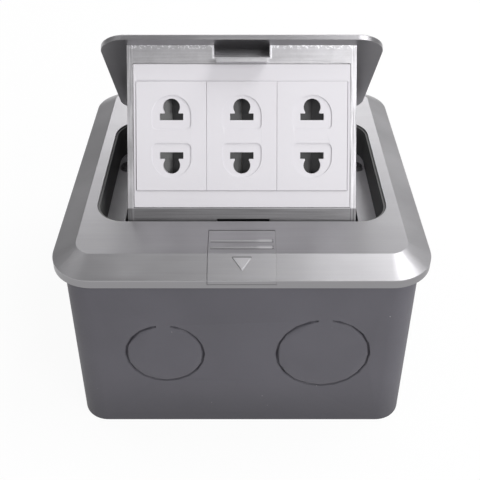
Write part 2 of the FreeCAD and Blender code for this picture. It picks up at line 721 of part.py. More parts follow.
def pin_clips():
    """Snap rings in the grooves near the pin's ends."""
    clips = []
    for side, start in (("right", "pin_long / 2 - 1.7"), ("left", "1.2 - pin_long / 2")):
        disc = rod(f"clip_{side}", "pin_radius + 0.65", "0.5", start, "pivot_back", PIN_Z, "x", 16)
        bore = rod(
            f"clip_{side}_bore", "pin_radius - 0.25", "2", f"({start}) - 0.5", "pivot_back", PIN_Z, "x", 16,
        )
        gap = block(
            f"clip_{side}_gap", (f"({start}) - 0.5", f"({start}) + 1"), ("pivot_back - 0.8",
            "pivot_back + 0.8"),
            (f"{PIN_Z} - 4", PIN_Z),
        )
        clips.append(cut(f"clip_{side}_done", disc, bore, gap))
    keep("pin_clips", group("clip_pair", *clips))


def bent_wire(points, wire_radius, sides=5):
    """A wire through points as one solid with flat sides, so that a fine coil stays light."""
    rings = []
    normal = None
    for i, point in enumerate(points):
        before, after = points[max(i - 1, 0)], points[min(i + 1, len(points) - 1)]
        along = (after - before).normalize()
        if normal is None:
            normal = along.cross(FreeCAD.Vector(1, 0, 0) if abs(along.x) < 0.9 else FreeCAD.Vector(0, 0, 1))
        normal = (normal - along * normal.dot(along)).normalize()
        other = along.cross(normal)
        turns = [2 * math.pi * k / sides for k in range(sides)]
        rings.append([point + (normal * math.cos(a) + other * math.sin(a)) * wire_radius for a in turns])
    faces = [Part.Face(Part.makePolygon(ring + ring[:1])) for ring in (rings[0], rings[-1])]
    for ring, following in zip(rings, rings[1:]):
        for k in range(sides):
            n = (k + 1) % sides
            a, b, c, d = ring[k], ring[n], following[n], following[k]
            faces.append(Part.Face(Part.makePolygon([a, b, c, a])))
            faces.append(Part.Face(Part.makePolygon([a, c, d, a])))
    solid = Part.Solid(Part.Shell(faces))
    if solid.Volume < 0:
        solid.reverse()
    return solid


def helix_points(radius, pitch, height, steps=9):
    """Points of a helix round Z that starts on X."""
    count = max(2, round(height / pitch * steps))
    turn = 2 * math.pi * height / pitch
    return [
        FreeCAD.Vector(
            radius * math.cos(turn * i / count), radius * math.sin(turn * i / count), height * i / count,
        )
        for i in range(count + 1)
    ]


def hinge_springs():
    """Torsion springs round the pin: one leg presses up on the frame, one lifts the arm."""
    radius, pitch, rise = value("coil_radius"), value("coil_pitch"), value("leg_slope")
    height = pitch * (value("coil_turns") + (rise - value("arm_angle - open_angle")) / 360)
    outer = value(f"{CHEEK_IN} - coil_wire - 0.3")
    up, along = math.sin(math.radians(rise)), math.cos(math.radians(rise))
    turned = FreeCAD.Rotation(
        FreeCAD.Vector(0, up, -along), FreeCAD.Vector(0, -along, -up), FreeCAD.Vector(-1, 0, 0), "ZXY"
    )
    seat = FreeCAD.Placement(FreeCAD.Vector(height - outer, value("pivot_back"), value(PIN_Z)), turned)
    coil = [seat.multVec(point) for point in helix_points(radius, pitch, height)]
    back = FreeCAD.Vector(0, along, up)
    fall = math.radians(value("arm_angle - open_angle"))
    on = FreeCAD.Vector(0, -math.cos(fall), -math.sin(fall))
    leg, bend, hook = value("coil_leg"), value("coil_wire") * 2, value("cheek_thick * 0.7")
    knee = coil[-1] + on * leg * 0.7
    path = [
        coil[0] + back * leg, *coil, knee,
        knee + on * bend * 0.7 + FreeCAD.Vector(-bend * 0.3, 0, 0),
        knee + on * bend + FreeCAD.Vector(-bend, 0, 0),
        knee + on * bend + FreeCAD.Vector(-bend - hook, 0, 0),
    ]
    left = bent_wire(path, value("coil_wire"))
    right = left.mirror(FreeCAD.Vector(), FreeCAD.Vector(1, 0, 0))
    springs = doc.addObject("Part::Feature", "hinge_spring_pair")
    springs.Shape = Part.makeCompound([left, right])
    keep("hinge_springs", springs)


def lid():
    body, sketch = body_with_sketch("lid_body", "XY_Plane")
    wide = f"{HALF_RECESS} - lid_gap_side"
    rounded("lid", (f"-({wide})", wide), (LID_FRONT, LID_REAR), "lid_corner", sketch)
    pad = body.newObject("PartDesign::Pad", "lid_pad")
    pad.Profile = sketch
    bind(pad, "Length", "lid_thick")
    doc.recompute()
    top = [
        f"Edge{i + 1}" for i, edge in enumerate(pad.Shape.Edges)
        if min(v.Point.z for v in edge.Vertexes) > value("lid_thick") - 0.01
    ]
    bevel = body.newObject("PartDesign::Chamfer", "lid_bevel")
    bevel.Base = (pad, top)
    bevel.Size = 0.4
    place(body, 0, 0, LID_UNDER)
    keep("lid", group("lid_piece", body), "shut")


def carrier_tray():
    """The tray's rim, floor, window, notch and catch, in the plate's own frame."""
    full = ("-plate_wide / 2", "plate_wide / 2")
    shell = block("tray_solid", full, ("-plate_tall", "0"), ("-tray_deep - tray_floor", "0"))
    pocket = block(
        "tray_pocket", ("rim_side - plate_wide / 2", "plate_wide / 2 - rim_side"),
        ("rim_bottom - plate_tall", "-rim_top"), ("-tray_deep", "1"),
    )
    half = "module_pitch * 1.5 - 1"
    window = block(
        "tray_window", (f"-({half})", half),
        ("-module_low - module_tall / 2 + 1", "module_tall / 2 - 1 - module_low"),
        ("-tray_deep - tray_floor - 1", "1"),
    )
    notch = block(
        "tray_notch", ("-notch_wide / 2", "notch_wide / 2"), ("-notch_deep", "1"),
        ("-tray_deep - tray_floor - 1", "1")
    )
    catch = block(
        "tray_catch", ("0.9 - notch_wide / 2", "notch_wide / 2 - 0.9"), ("-catch_low - catch_thick",
        "-catch_low"),
        ("-tray_deep", "catch_reach"),
    )
    slot = block(
        "tray_slot", ("-8.2", "9.2"), ("-plate_tall - 1", "-slot_low"), ("-tray_deep - tray_floor - 1",
        "1"),
    )
    tray = fuse("tray_all", cut("tray_cut", shell, pocket, window, notch, slot), catch)
    tray.Placement = plate_pose()
    return tray


def on_plate(down, out=0):
    """Y and Z, shut, of a point this far down the plate and this far out of its face."""
    y = f"({PLATE_Y} + ({down}) * cos(plate_angle) - ({out}) * sin(plate_angle))"
    z = f"({LID_UNDER} - ({down}) * sin(plate_angle) - ({out}) * cos(plate_angle))"
    return y, z


def from_pin(reach, below):
    """Y and Z, shut, of a point this far from the pin towards the front, this steep below it."""
    return f"(pivot_back - ({reach}) * cos({below}))", f"({PIN_Z} - ({reach}) * sin({below}))"


def carrier_cheek():
    """One cheek with its hinge arm, on the right, as it lies shut."""
    x = (CHEEK_IN, CHEEK_OUT)
    plate = slab_x(
        "cheek_plate",
        [on_plate("0"), on_plate("plate_tall"), from_pin("16", "60"), from_pin("12.3", "63.4"),
         ("(pivot_back - 8.5)", LID_UNDER)],
        x,
    )
    relief = rod(
        "cheek_relief", "relief_radius", "cheek_thick + 2", f"{CHEEK_IN} - 1", "pivot_back", PIN_Z, "x", 32,
    )
    window = rod(
        "cheek_window", "7", "cheek_thick + 2", f"{CHEEK_IN} - 1", "4", f"{LID_UNDER} - 21", "x", 24,
    )
    half, run, rise = "arm_wide / 2", "cos(arm_angle)", "sin(arm_angle)"
    arm = slab_x(
        "cheek_arm",
        [
            (f"pivot_back - {half} * {rise}", f"{PIN_Z} + {half} * {run}"),
            (f"pivot_back - 14 * {run} - {half} * {rise}", f"{PIN_Z} - 14 * {rise} + {half} * {run}"),
            (f"pivot_back - 14 * {run} + {half} * {rise}", f"{PIN_Z} - 14 * {rise} - {half} * {run}"),
            (f"pivot_back + {half} * {rise}", f"{PIN_Z} - {half} * {run}"),
        ],
        x,
    )
    boss = rod("cheek_boss", "boss_radius", "cheek_thick", CHEEK_IN, "pivot_back", PIN_Z, "x", 24)
    return fuse("cheek", cut("cheek_cut", plate, relief, window), arm, boss)


def socket_carrier():
    cheek = carrier_cheek()
    roof = block(
        "carrier_roof", (f"-{CHEEK_IN} - 0.2", f"{CHEEK_IN} + 0.2"), (f"{PLATE_Y} + 3", "pivot_back - 14"),
        (f"{LID_UNDER} - 1.4", LID_UNDER),
    )
    solid = fuse("carrier_solid", carrier_tray(), cheek, mirrored("cheek_left", cheek), roof)
    bore = rod("carrier_bore", "pin_radius + run_gap", "pin_long", "-pin_long / 2", "pivot_back", PIN_Z, "x")
    holes = [
        rod(f"roof_hole_{i}", "1.3", "4", f"{a} * lid_screw_x", b, f"{LID_UNDER} - 3", sides=SCREW_SIDES)
        for i, (a, b) in enumerate(LID_SCREW_SPOTS)
    ]
    inside = block(
        "carrier_notch_clear", ("-notch_wide / 2", "notch_wide / 2"), (f"{PLATE_Y} - 1", f"{PLATE_Y} + 7"),
        (f"{LID_UNDER} - 1.4", FRAME_TOP),
    )
    above = block(
        "carrier_under_lid", ("-plate_wide", "plate_wide"), (f"{PLATE_Y} - 9", "recess_rear"),
        (LID_UNDER, f"{FRAME_TOP} + 2"),
    )
    keep("socket_carrier", cut("carrier_done", solid, bore, inside, above, *holes), "shut")


def lid_screws():
    """Four screws under the roof, which hold the lid."""
    screws = []
    for i, (a, b) in enumerate(LID_SCREW_SPOTS):
        screws.append(
            hung_screw(
                f"lid_screw_{i}", "2.4", "1.3", "1.3", "1.4", f"{a} * lid_screw_x", b, f"{LID_UNDER} - 1.4",
            )
        )
    keep("lid_screws", group("lid_screw_set", *screws), "shut")


def module_frame():
    """White insert round the modules, in the plate's frame."""
    low, high = "rim_bottom - plate_tall + fit_gap", "-rim_top - fit_gap"
    half = "plate_wide / 2 - rim_side - fit_gap"
    plate = block("insert_plate", (f"-({half})", half), (low, high), ("-tray_deep", "0"))
    wide = "module_pitch * 1.5 + fit_gap"
    window = block(
        "insert_window", (f"-({wide})", wide),
        ("-module_low - module_tall / 2 - fit_gap", "module_tall / 2 - module_low + fit_gap"),
        ("-tray_deep - 1", "1"),
    )
    keep("module_frame", cut("insert_done", plate, window), "plate")


def module_centre(index):
    return f"(({index} - 1) * module_pitch)"


def mirrored_pair(name, source, index):
    """A piece above a module's middle and its mirror image below, in the plate's frame."""
    other = mirrored(f"{name}_below", source, (0, 1, 0))
    bind(other, "Base.y", "-module_low")
    return [source, other]


def opening(name, index):
    """Round hole, neck and slot of the upper opening of a module, and its sunk pad."""
    x, y = module_centre(index), "-module_low"
    z = ("-module_face - 1", "module_proud + 1")
    deep = f"({z[1]}) - ({z[0]})"
    hole = rod(f"{name}_round", "round_hole", deep, x, f"{y} + round_pitch / 2", z[0], sides=24)
    neck = block(
        f"{name}_neck", (f"{x} - neck_wide / 2", f"{x} + neck_wide / 2"),
        (f"{y} + slot_pitch / 2", f"{y} + round_pitch / 2"), z,
    )
    slot = block(
        f"{name}_slot", (f"{x} - slot_wide / 2", f"{x} + slot_wide / 2"),
        (f"{y} + slot_pitch / 2 - slot_tall / 2", f"{y} + slot_pitch / 2 + slot_tall / 2"), z,
    )
    sunk = ("module_proud - pad_sunk", "module_proud + 1")
    pad = rounded_block(
        f"{name}_pad", (f"{x} - pad_wide / 2", f"{x} + pad_wide / 2"),
        (f"{y} + pad_near", f"{y} + pad_far - pad_wide / 2 + pad_corner"), "pad_corner", sunk,
    )
    arch = cut(
        f"{name}_arch",
        rod(
            f"{name}_disc", "pad_wide / 2", f"({sunk[1]}) - ({sunk[0]})", x,
            f"{y} + pad_far - pad_wide / 2", sunk[0],
            sides=36,
        ),
        block(
            f"{name}_disc_low", (f"{x} - pad_wide", f"{x} + pad_wide"), (f"{y} - pad_wide",
            f"{y} + pad_near + pad_corner"),
            (f"{sunk[0]} - 1", f"{sunk[1]} + 1"),
        ),
    )
    upper = fuse(f"{name}_upper", hole, neck, slot, pad, arch)
    return mirrored_pair(name, upper, index)


def module_box(name, index, inset, z):
    """A prism of a module's outline, moved inwards by inset."""
    x = module_centre(index)
    half = f"(module_pitch / 2 - fit_gap / 2 - ({inset}))"
    tall = f"(module_tall / 2 - ({inset}))"
    return block(
        name, (f"{x} - {half}", f"{x} + {half}"), (f"-module_low - {tall}", f"{tall} - module_low"), z,
    )


def module_face(index):
    name = f"face_{index}"
    top = ("-tray_deep", "module_proud")
    head = module_box(f"{name}_head", index, "0", top)
    body = module_box(f"{name}_body", index, "1.1", ("-module_deep", "-1"))
    hollow = module_box(
        f"{name}_hollow", index, "1.1 + module_wall", ("-module_deep - 1", "module_proud - module_face"),
    )
    keep(
        f"module_face_{index + 1}",
        cut(f"{name}_done", fuse(f"{name}_solid", head, body), hollow, *opening(name, index)), "plate",
    )


def shutter(index):
    """Two leaves that meet over the middle of the openings and slope down to each other."""
    x = module_centre(index)
    front = "(module_proud - module_face - leaf_gap)"
    y = ("-module_low - leaf_tall / 2", "leaf_tall / 2 - module_low")
    for side, sign in (("left", "-"), ("right", "+")):
        leaf = slab_y(
            f"leaf_{side}_{index}",
            [
                (f"{x} {sign} leaf_gap", f"{front} - leaf_thick"),
                (f"{x} {sign} leaf_wide", f"{front} - leaf_thick"),
                (f"{x} {sign} leaf_wide", front),
                (f"{x} {sign} leaf_slope", front),
                (f"{x} {sign} leaf_gap", f"{front} - leaf_thick * 0.7"),
            ],
            y,
        )
        keep(f"shutter_{side}_{index + 1}", group(f"leaf_piece_{side}_{index}", leaf), "plate")


def shutter_springs(index):
    """A bent strip between each leaf and the module's wall, which pushes the leaf back."""
    x = module_centre(index)
    front = "(module_proud - module_face - leaf_gap - leaf_thick * 0.55)"
    wall = "(module_pitch / 2 - fit_gap / 2 - 1.1 - module_wall)"
    strips = []
    for side, sign in (("left", "-"), ("right", "+")):
        at_leaf, at_wall = f"{x} {sign} (leaf_wide + 0.02)", f"{x} {sign} ({wall} - 0.02)"
        thick = f"{sign} 0.25"
        middle = f"(leaf_wide + {wall}) / 2"
        strips.append(
            slab_y(
                f"strip_{side}_{index}",
                [
                    (at_leaf, f"{front} + 0.9"),
                    (f"{at_leaf} {thick}", f"{front} + 0.9"),
                    (f"{x} {sign} {middle}", f"{front} - 0.75"),
                    (f"{x} {sign} ({wall} - 0.27)", f"{front} + 0.9"),
                    (at_wall, f"{front} + 0.9"),
                    (f"{x} {sign} {middle}", f"{front} - 1.35"),
                ],
                ("-module_low - 4", "4 - module_low"),
            )
        )
    keep(f"shutter_springs_{index + 1}", group(f"strip_pair_{index}", *strips), "plate")


def contacts(index):
    """A spring clip of brass behind each opening, standing on the module's base."""
    x = module_centre(index)
    back = "-module_deep"
    reach = f"{back} + 8.5"
    clip = slab_y(
        f"clip_{index}",
        [
            (f"{x} - 3.4", back), (f"{x} + 3.4", back), (f"{x} + 3.4", f"{back} + 2"),
            (f"{x} + 2.2", f"{back} + 6.6"), (f"{x} + 3.1", reach), (f"{x} + 2.5", reach),
            (f"{x} + 1.6", f"{back} + 6.6"), (f"{x} + 2.7", f"{back} + 2"), (f"{x} + 2.7", f"{back} + 0.7"),
            (f"{x} - 2.7", f"{back} + 0.7"), (f"{x} - 2.7", f"{back} + 2"), (f"{x} - 1.6", f"{back} + 6.6"),
            (f"{x} - 2.5", reach), (f"{x} - 3.1", reach), (f"{x} - 2.2", f"{back} + 6.6"),
            (f"{x} - 3.4", f"{back} + 2"),
        ],
        ("slot_pitch / 2 - 2 - module_low", "round_pitch / 2 + 2.5 - module_low"),
    )
    keep(
        f"contacts_{index + 1}",
        group(f"clip_set_{index}", *mirrored_pair(f"clip_{index}", clip, index)), "plate",
    )


def module_base(index):
    name = f"base_{index}"
    x = module_centre(index)
    back = "(-module_deep - base_thick)"
    body = module_box(f"{name}_body", index, "1.1", (back, "-module_deep"))
    ports = []
    for mark, y in (("low", "-module_low - 11"), ("high", "11 - module_low")):
        ports.append(rod(f"{name}_port_{mark}", "1.9", "5", x, y, f"{back} - 1", sides=16))
    grooves = [
        block(
            f"{name}_groove_{i}", (f"{x} - 12", f"{x} + 12"), (f"{y} - 0.8 - module_low",
            f"{y} + 0.8 - module_low"),
            (f"{back} - 1", f"{back} + 1.2"),
        )
        for i, y in enumerate((-4, 4))
    ]
    keep(f"module_base_{index + 1}", cut(f"{name}_done", body, *ports, *grooves), "plate")


def terminal_screws():
    screws = []
    back = "(-module_deep - base_thick)"
    for index in range(3):
        for mark, y in (("low", "-module_low - 11"), ("high", "11 - module_low")):
            x = f"{module_centre(index)} + 5.5"
            screws.append(
                rod(f"terminal_{index}_{mark}", "1.7", "1.2", x, y, f"{back} - 1.2", sides=SCREW_SIDES),
            )
    keep("terminal_screws", group("terminal_set", *screws), "plate")


def latch_button():
    half = "button_wide / 2"
    skin = slab_x("button_skin", button_profile("0", "0 - button_gap"), (f"-({half})", half))
    stem = block(
        "button_stem", ("-stem_wide / 2", "stem_wide / 2"), ("-stem_rear - stem_thick", "-stem_rear"),
        (NOSE_TOP, f"{FRAME_TOP} - button_thick + 0.2"),
    )
    ridges = []
    for i in range(2):
        middle = f"(-ridge_first - {i} * ridge_pitch)"
        ridges.append(
            slab_x(
                f"button_ridge_{i}",
                [
                    (f"{middle} - ridge_wide / 2", f"{FRAME_TOP} - 0.2"),
                    (f"{middle} + ridge_wide / 2", f"{FRAME_TOP} - 0.2"),
                    (f"{middle} + ridge_wide / 2", FRAME_TOP),
                    (f"{middle} + ridge_wide / 5", f"{FRAME_TOP} + ridge_tall"),
                    (f"{middle} - ridge_wide / 5", f"{FRAME_TOP} + ridge_tall"),
                    (f"{middle} - ridge_wide / 2", FRAME_TOP),
                ],
                (f"0.6 - {half}", f"{half} - 0.6"),
            )
        )
    thread = rod(
        "button_thread", "1.1", "4", 0, "-stem_rear - stem_thick / 2", f"{NOSE_TOP} - 1", sides=SCREW_SIDES,
    )
    keep("latch_button", cut("button_done", fuse("button_all", skin, stem, *ridges, arrow()), thread))


def arrow():
    """Raised triangle that points down the bevel to the front."""
    sketch = outline(
        "arrow_outline", [("-arrow_half", "-arrow_rear"), ("0", "-arrow_front"), ("arrow_half",
        "-arrow_rear")],
    )
    place(sketch, 0, 0, BEVEL_FOOT)
    prism = raise_up("arrow_prism", sketch, "bevel_rise + 2")
    skin = slab_x(
        "arrow_skin",
        [
            (f"-{HALF_FRAME}", f"{BEVEL_FOOT} - 0.3"),
            (f"bevel_run - {HALF_FRAME}", f"{FRAME_TOP} - 0.3"),
            (f"bevel_run - {HALF_FRAME}", f"{FRAME_TOP} + arrow_tall"),
            (f"-{HALF_FRAME}", f"{BEVEL_FOOT} + arrow_tall"),
        ],
        ("-button_wide / 2", "button_wide / 2"),
    )
    item = doc.addObject("Part::Common", "arrow")
    item.Base = prism
    item.Tool = skin
    return item


def latch_slider():
    plate = slab_x(
        "slider_plate",
        [
            ("-slider_front", NOSE_UNDER), ("-nose_tip - 1.2", NOSE_UNDER), ("-nose_tip",
            f"{NOSE_UNDER} + 0.3"),
            ("-nose_tip", f"{NOSE_TOP} - 1.2"), ("-nose_tip - 1.6", f"{NOSE_TOP} - 0.05"),
            ("-slider_front", f"{NOSE_TOP} - 0.05"),
        ],
        ("-nose_wide / 2", "nose_wide / 2"),
    )
    hole = rod(
        "slider_hole", "1.25", "nose_thick + 2", 0, "-stem_rear - stem_thick / 2", f"{NOSE_UNDER} - 1",
        sides=SCREW_SIDES,
    )
    slots = [
        block(
            f"slider_slot_{side}", (f"{sign}spring_x - 1.2", f"{sign}spring_x + 1.2"),
            ("-slider_front - 1", "-spring_end"), (f"{NOSE_UNDER} - 1", f"{NOSE_TOP} + 1"),
        )
        for side, sign in (("left", "-"), ("right", ""))
    ]
    keep("latch_slider", cut("slider_done", plate, hole, *slots))


def latch_screw():
    middle = "-stem_rear - stem_thick / 2"
    screw = hung_screw("latch_screw_solid", "2", "1", "1.1", "nose_thick + 2.6", 0, middle, NOSE_UNDER)
    keep("latch_screw", screw)


def latch_springs():
    """Two compression springs in the slider's slots, which push the nose back in."""
    seat, wire = value(SPRING_SEAT), value("spring_wire")
    length = seat - value("spring_end") - 2 * wire - 0.04
    springs = []
    for sign in (-1, 1):
        start = FreeCAD.Vector(
            sign * value("spring_x"), 0.02 + wire - seat, value(f"({NOSE_UNDER} + {NOSE_TOP}) / 2"),
        )
        lie = FreeCAD.Placement(start, TURNS["y"])
        points = helix_points(value("spring_radius"), length / value("spring_turns"), length, 7)
        springs.append(bent_wire([lie.multVec(point) for point in points], wire, 4))
    pair = doc.addObject("Part::Feature", "latch_spring_pair")
    pair.Shape = Part.makeCompound(springs)
    keep("latch_springs", pair)


def latch_guide():
    """Plate under the slider, screwed to the block, with a slot for the latch screw."""
    z = (f"{NOSE_UNDER} - guide_thick - 0.05", f"{NOSE_UNDER} - 0.05")
    y = ("-slider_front + 0.6", "-recess_front - recess_wall")
    half = "button_wide / 2 + 2.5"
    plate = block("guide_plate", (f"-({half})", half), y, z)
    slot = block(
        "guide_slot", ("-2.3", "2.3"),
        ("-stem_rear - stem_thick / 2 - 2.3 - button_travel", "2.3 - stem_rear - stem_thick / 2"),
        (f"{z[0]} - 1", f"{z[1]} + 1"),
    )
    feet = []
    for side, low, high in (("right", "nose_wide / 2 + 0.3", half), ("left", f"-({half})",
        "-nose_wide / 2 - 0.3")):
        feet.append(block(f"guide_foot_{side}", (low, high), y, (f"{z[1]} - 0.2", NOSE_TOP)))
    holes = [
        rod(
            f"guide_hole_{side}", "0.8", "9", f"{sign}(nose_wide / 2 + 2.9)", "-recess_front - 6",
            f"{z[0]} - 1",
            sides=SCREW_SIDES,
        )
        for side, sign in (("left", "-"), ("right", ""))
    ]
    keep("latch_guide", cut("guide_done", fuse("guide_all", plate, *feet), slot, *holes))


def guide_screws():
    screws = []
    for side, sign in (("left", "-"), ("right", "")):
        x, y = f"{sign}(nose_wide / 2 + 2.9)", "-recess_front - 6"
        z = f"{NOSE_UNDER} - guide_thick - 0.05"
        screws.append(hung_screw(f"guide_screw_{side}", "1.5", "0.8", "0.8", f"{NOSE_TOP} - ({z})", x, y, z))
    keep("guide_screws", group("guide_screw_pair", *screws))


def earth_terminal():
    x, z = "-fix_pitch / 2", "box_wall + 2.5"
    washer = cut(
        "earth_washer_done", rod("earth_washer_disc", "4", "0.8", x, 0, z, sides=20),
        rod("earth_washer_bore", "1.9", "3", x, 0, f"{z} - 1", sides=SCREW_SIDES),
    )
    keep("earth_washer", washer)
    keep("earth_screw", plain_screw("earth_screw_solid", "3.3", "2.2", "1.7", "0.8", x, 0, f"{z} + 0.8"))


def plate_pose():
    """From the plate's frame (X across, Y up, Z out of its face) to where it lies shut."""
    corner = FreeCAD.Vector(0, value(PLATE_Y), value(LID_UNDER))
    lean = FreeCAD.Rotation(FreeCAD.Vector(1, 0, 0), 180 - value("plate_angle"))
    return FreeCAD.Placement(corner, lean)


def open_pose():
    """Turns what lies shut about the hinge pin to where it rests open."""
    pin = FreeCAD.Vector(0, value("pivot_back"), value(PIN_Z))
    turn = FreeCAD.Rotation(FreeCAD.Vector(1, 0, 0), -value("open_angle"))
    return FreeCAD.Placement(FreeCAD.Vector(), turn, pin)


def build():
    back_box()
    box_seal()
    floor_frame()
    frame_gasket()
    frame_screws()
    hinge_pin()
    pin_clips()
    hinge_springs()
    lid()
    socket_carrier()
    lid_screws()
    module_frame()
    for index in range(3):
        module_face(index)
        shutter(index)
        shutter_springs(index)
        contacts(index)
        module_base(index)
    terminal_screws()
    latch_button()
    latch_slider()
    latch_screw()
    latch_springs()
    latch_guide()
    guide_screws()
    earth_terminal()


def pose_pieces():
    poses = {"shut": open_pose(), "plate": open_pose().multiply(plate_pose())}
    for item, pose in PARTS.values():
        if pose:
            item.Placement = poses[pose].multiply(item.Placement)


def check_and_write():
    for item in doc.Objects:
        if "Invalid" in item.State or "Error" in item.State:
            raise RuntimeError(f"{item.Name} failed: {item.State}")
    os.makedirs("parts", exist_ok=True)
    for node, (item, _) in PARTS.items():
        shape = item.Shape
        if shape.isNull() or not shape.isValid() or not shape.Solids:
            raise RuntimeError(f"{node} has no valid solid")
        shape.exportStep(f"parts/{node}.step")
        print(f"{node}: {len(shape.Solids)} solid, {shape.Volume:.1f} mm3")


build()
doc.recompute()
pose_pieces()
doc.recompute()
check_and_write()
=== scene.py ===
# %% [markdown]
# # A floor socket box, open
# The real thing is set into a floor: a steel back box in a pit, a satin metal frame on top
# of it, and a sprung lid that carries three white socket modules. The shapes come from the
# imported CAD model, in metres, so nothing here has to be fitted. What is added here is what
# makes it look real: rounded edges, brushed and cast metal, plastic, wire and screw threads.

# %% Load the frame
import bpy
import bmesh
import json
import math
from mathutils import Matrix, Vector


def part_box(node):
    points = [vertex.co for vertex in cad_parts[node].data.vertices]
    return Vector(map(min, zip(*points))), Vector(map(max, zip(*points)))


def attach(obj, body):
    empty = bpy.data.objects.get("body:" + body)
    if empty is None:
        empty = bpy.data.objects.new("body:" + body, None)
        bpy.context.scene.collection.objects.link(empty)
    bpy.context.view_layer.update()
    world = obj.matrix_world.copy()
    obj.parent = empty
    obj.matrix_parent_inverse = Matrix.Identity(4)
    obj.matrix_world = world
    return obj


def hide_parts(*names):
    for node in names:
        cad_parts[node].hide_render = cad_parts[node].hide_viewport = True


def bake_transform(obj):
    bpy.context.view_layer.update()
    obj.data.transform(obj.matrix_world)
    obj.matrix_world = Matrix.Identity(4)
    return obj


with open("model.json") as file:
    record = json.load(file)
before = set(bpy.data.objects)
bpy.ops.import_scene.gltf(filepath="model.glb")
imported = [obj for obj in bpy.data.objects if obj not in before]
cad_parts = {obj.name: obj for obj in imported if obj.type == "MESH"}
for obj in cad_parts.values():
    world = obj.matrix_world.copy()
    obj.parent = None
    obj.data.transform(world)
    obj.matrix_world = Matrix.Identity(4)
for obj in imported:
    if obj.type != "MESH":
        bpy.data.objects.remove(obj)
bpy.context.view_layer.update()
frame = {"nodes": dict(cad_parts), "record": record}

MM = 0.001
nodes = frame["nodes"]

# %% [markdown]
# ## Camera
# The photograph was taken from the front and above, square to the box. A camera that looks
# down by a little over a third of a right angle gives nearly the same view. A lens shift, as
# on a view camera, keeps the picture's centre on the box without tilting its upright walls
# further.

# %% Camera
LOOK_DOWN = math.radians(33.15)
camera_data = bpy.data.cameras.new("photo_camera")
camera_data.sensor_width = 36
camera_data.lens = 57.53
camera_data.shift_x = -0.00375
camera_data.shift_y = -0.175
camera_data.clip_start = 0.01
camera = bpy.data.objects.new("photo_camera", camera_data)
camera.location = Vector((0, -233.8, 227.7)) * MM
camera.rotation_euler = (math.radians(90) - LOOK_DOWN, 0, 0)
bpy.context.scene.collection.objects.link(camera)
bpy.context.scene.camera = camera
print("camera looks down by", round(math.degrees(LOOK_DOWN), 1), "degrees")

# %% [markdown]
# ## Writing shaders as formulas
# A finish is easier to read as a formula than as a tangle of nodes. `Wire` wraps an output
# socket, so that `1 - mask * 0.3` adds the two Math nodes it needs. `Graph` adds any other
# node through its `node` method, and `Finish` is a Graph that builds one material.


# %% A socket that does sums
class Wire:
    """An output socket of a node tree. Sums on it add Math nodes."""

    def __init__(self, graph, socket):
        self.graph = graph
        self.socket = socket

    def math(self, operation, *others):
        return self.graph.node("ShaderNodeMath", {"operation": operation}, dict(enumerate((self, *others))))

    def __add__(self, other):
        return self.math("ADD", other)

    def __mul__(self, other):
        return self.math("MULTIPLY", other)

    def __sub__(self, other):
        return self.math("SUBTRACT", other)

    def __rsub__(self, other):
        return self.graph.node("ShaderNodeMath", {"operation": "SUBTRACT"}, {0: other, 1: self})

    __radd__ = __add__
    __rmul__ = __mul__

    def between(self, low, high):
        """0 below low, 1 above high, and a smooth step from one to the other."""
        settings = {"interpolation_type": "SMOOTHSTEP"}
        inputs = {"Value": self, "From Min": low, "From Max": high}
        return self.graph.node("ShaderNodeMapRange", settings, inputs)


# %% A node tree under construction
class Graph:
    """A node tree, of a material or of Geometry Nodes, with one way to add nodes."""

    def __init__(self, tree):
        self.tree = tree
        self.tree.nodes.clear()

    def plug(self, socket, value):
        if isinstance(value, Wire):
            self.tree.links.new(value.socket, socket)
        elif isinstance(value, list):
            for wire in value:
                self.tree.links.new(wire.socket, socket)
        elif hasattr(value, "__len__") and socket.type == "RGBA":
            socket.default_value = (*value, 1)
        else:
            socket.default_value = value

    def node(self, kind, settings=None, inputs=None, output=0):
        """Any node: its settings come first, then the values or links of its sockets."""
        made = self.tree.nodes.new(kind)
        for name, value in (settings or {}).items():
            setattr(made, name, value)
        for socket, value in (inputs or {}).items():
            self.plug(made.inputs[socket], value)
        return Wire(self, made.outputs[output])


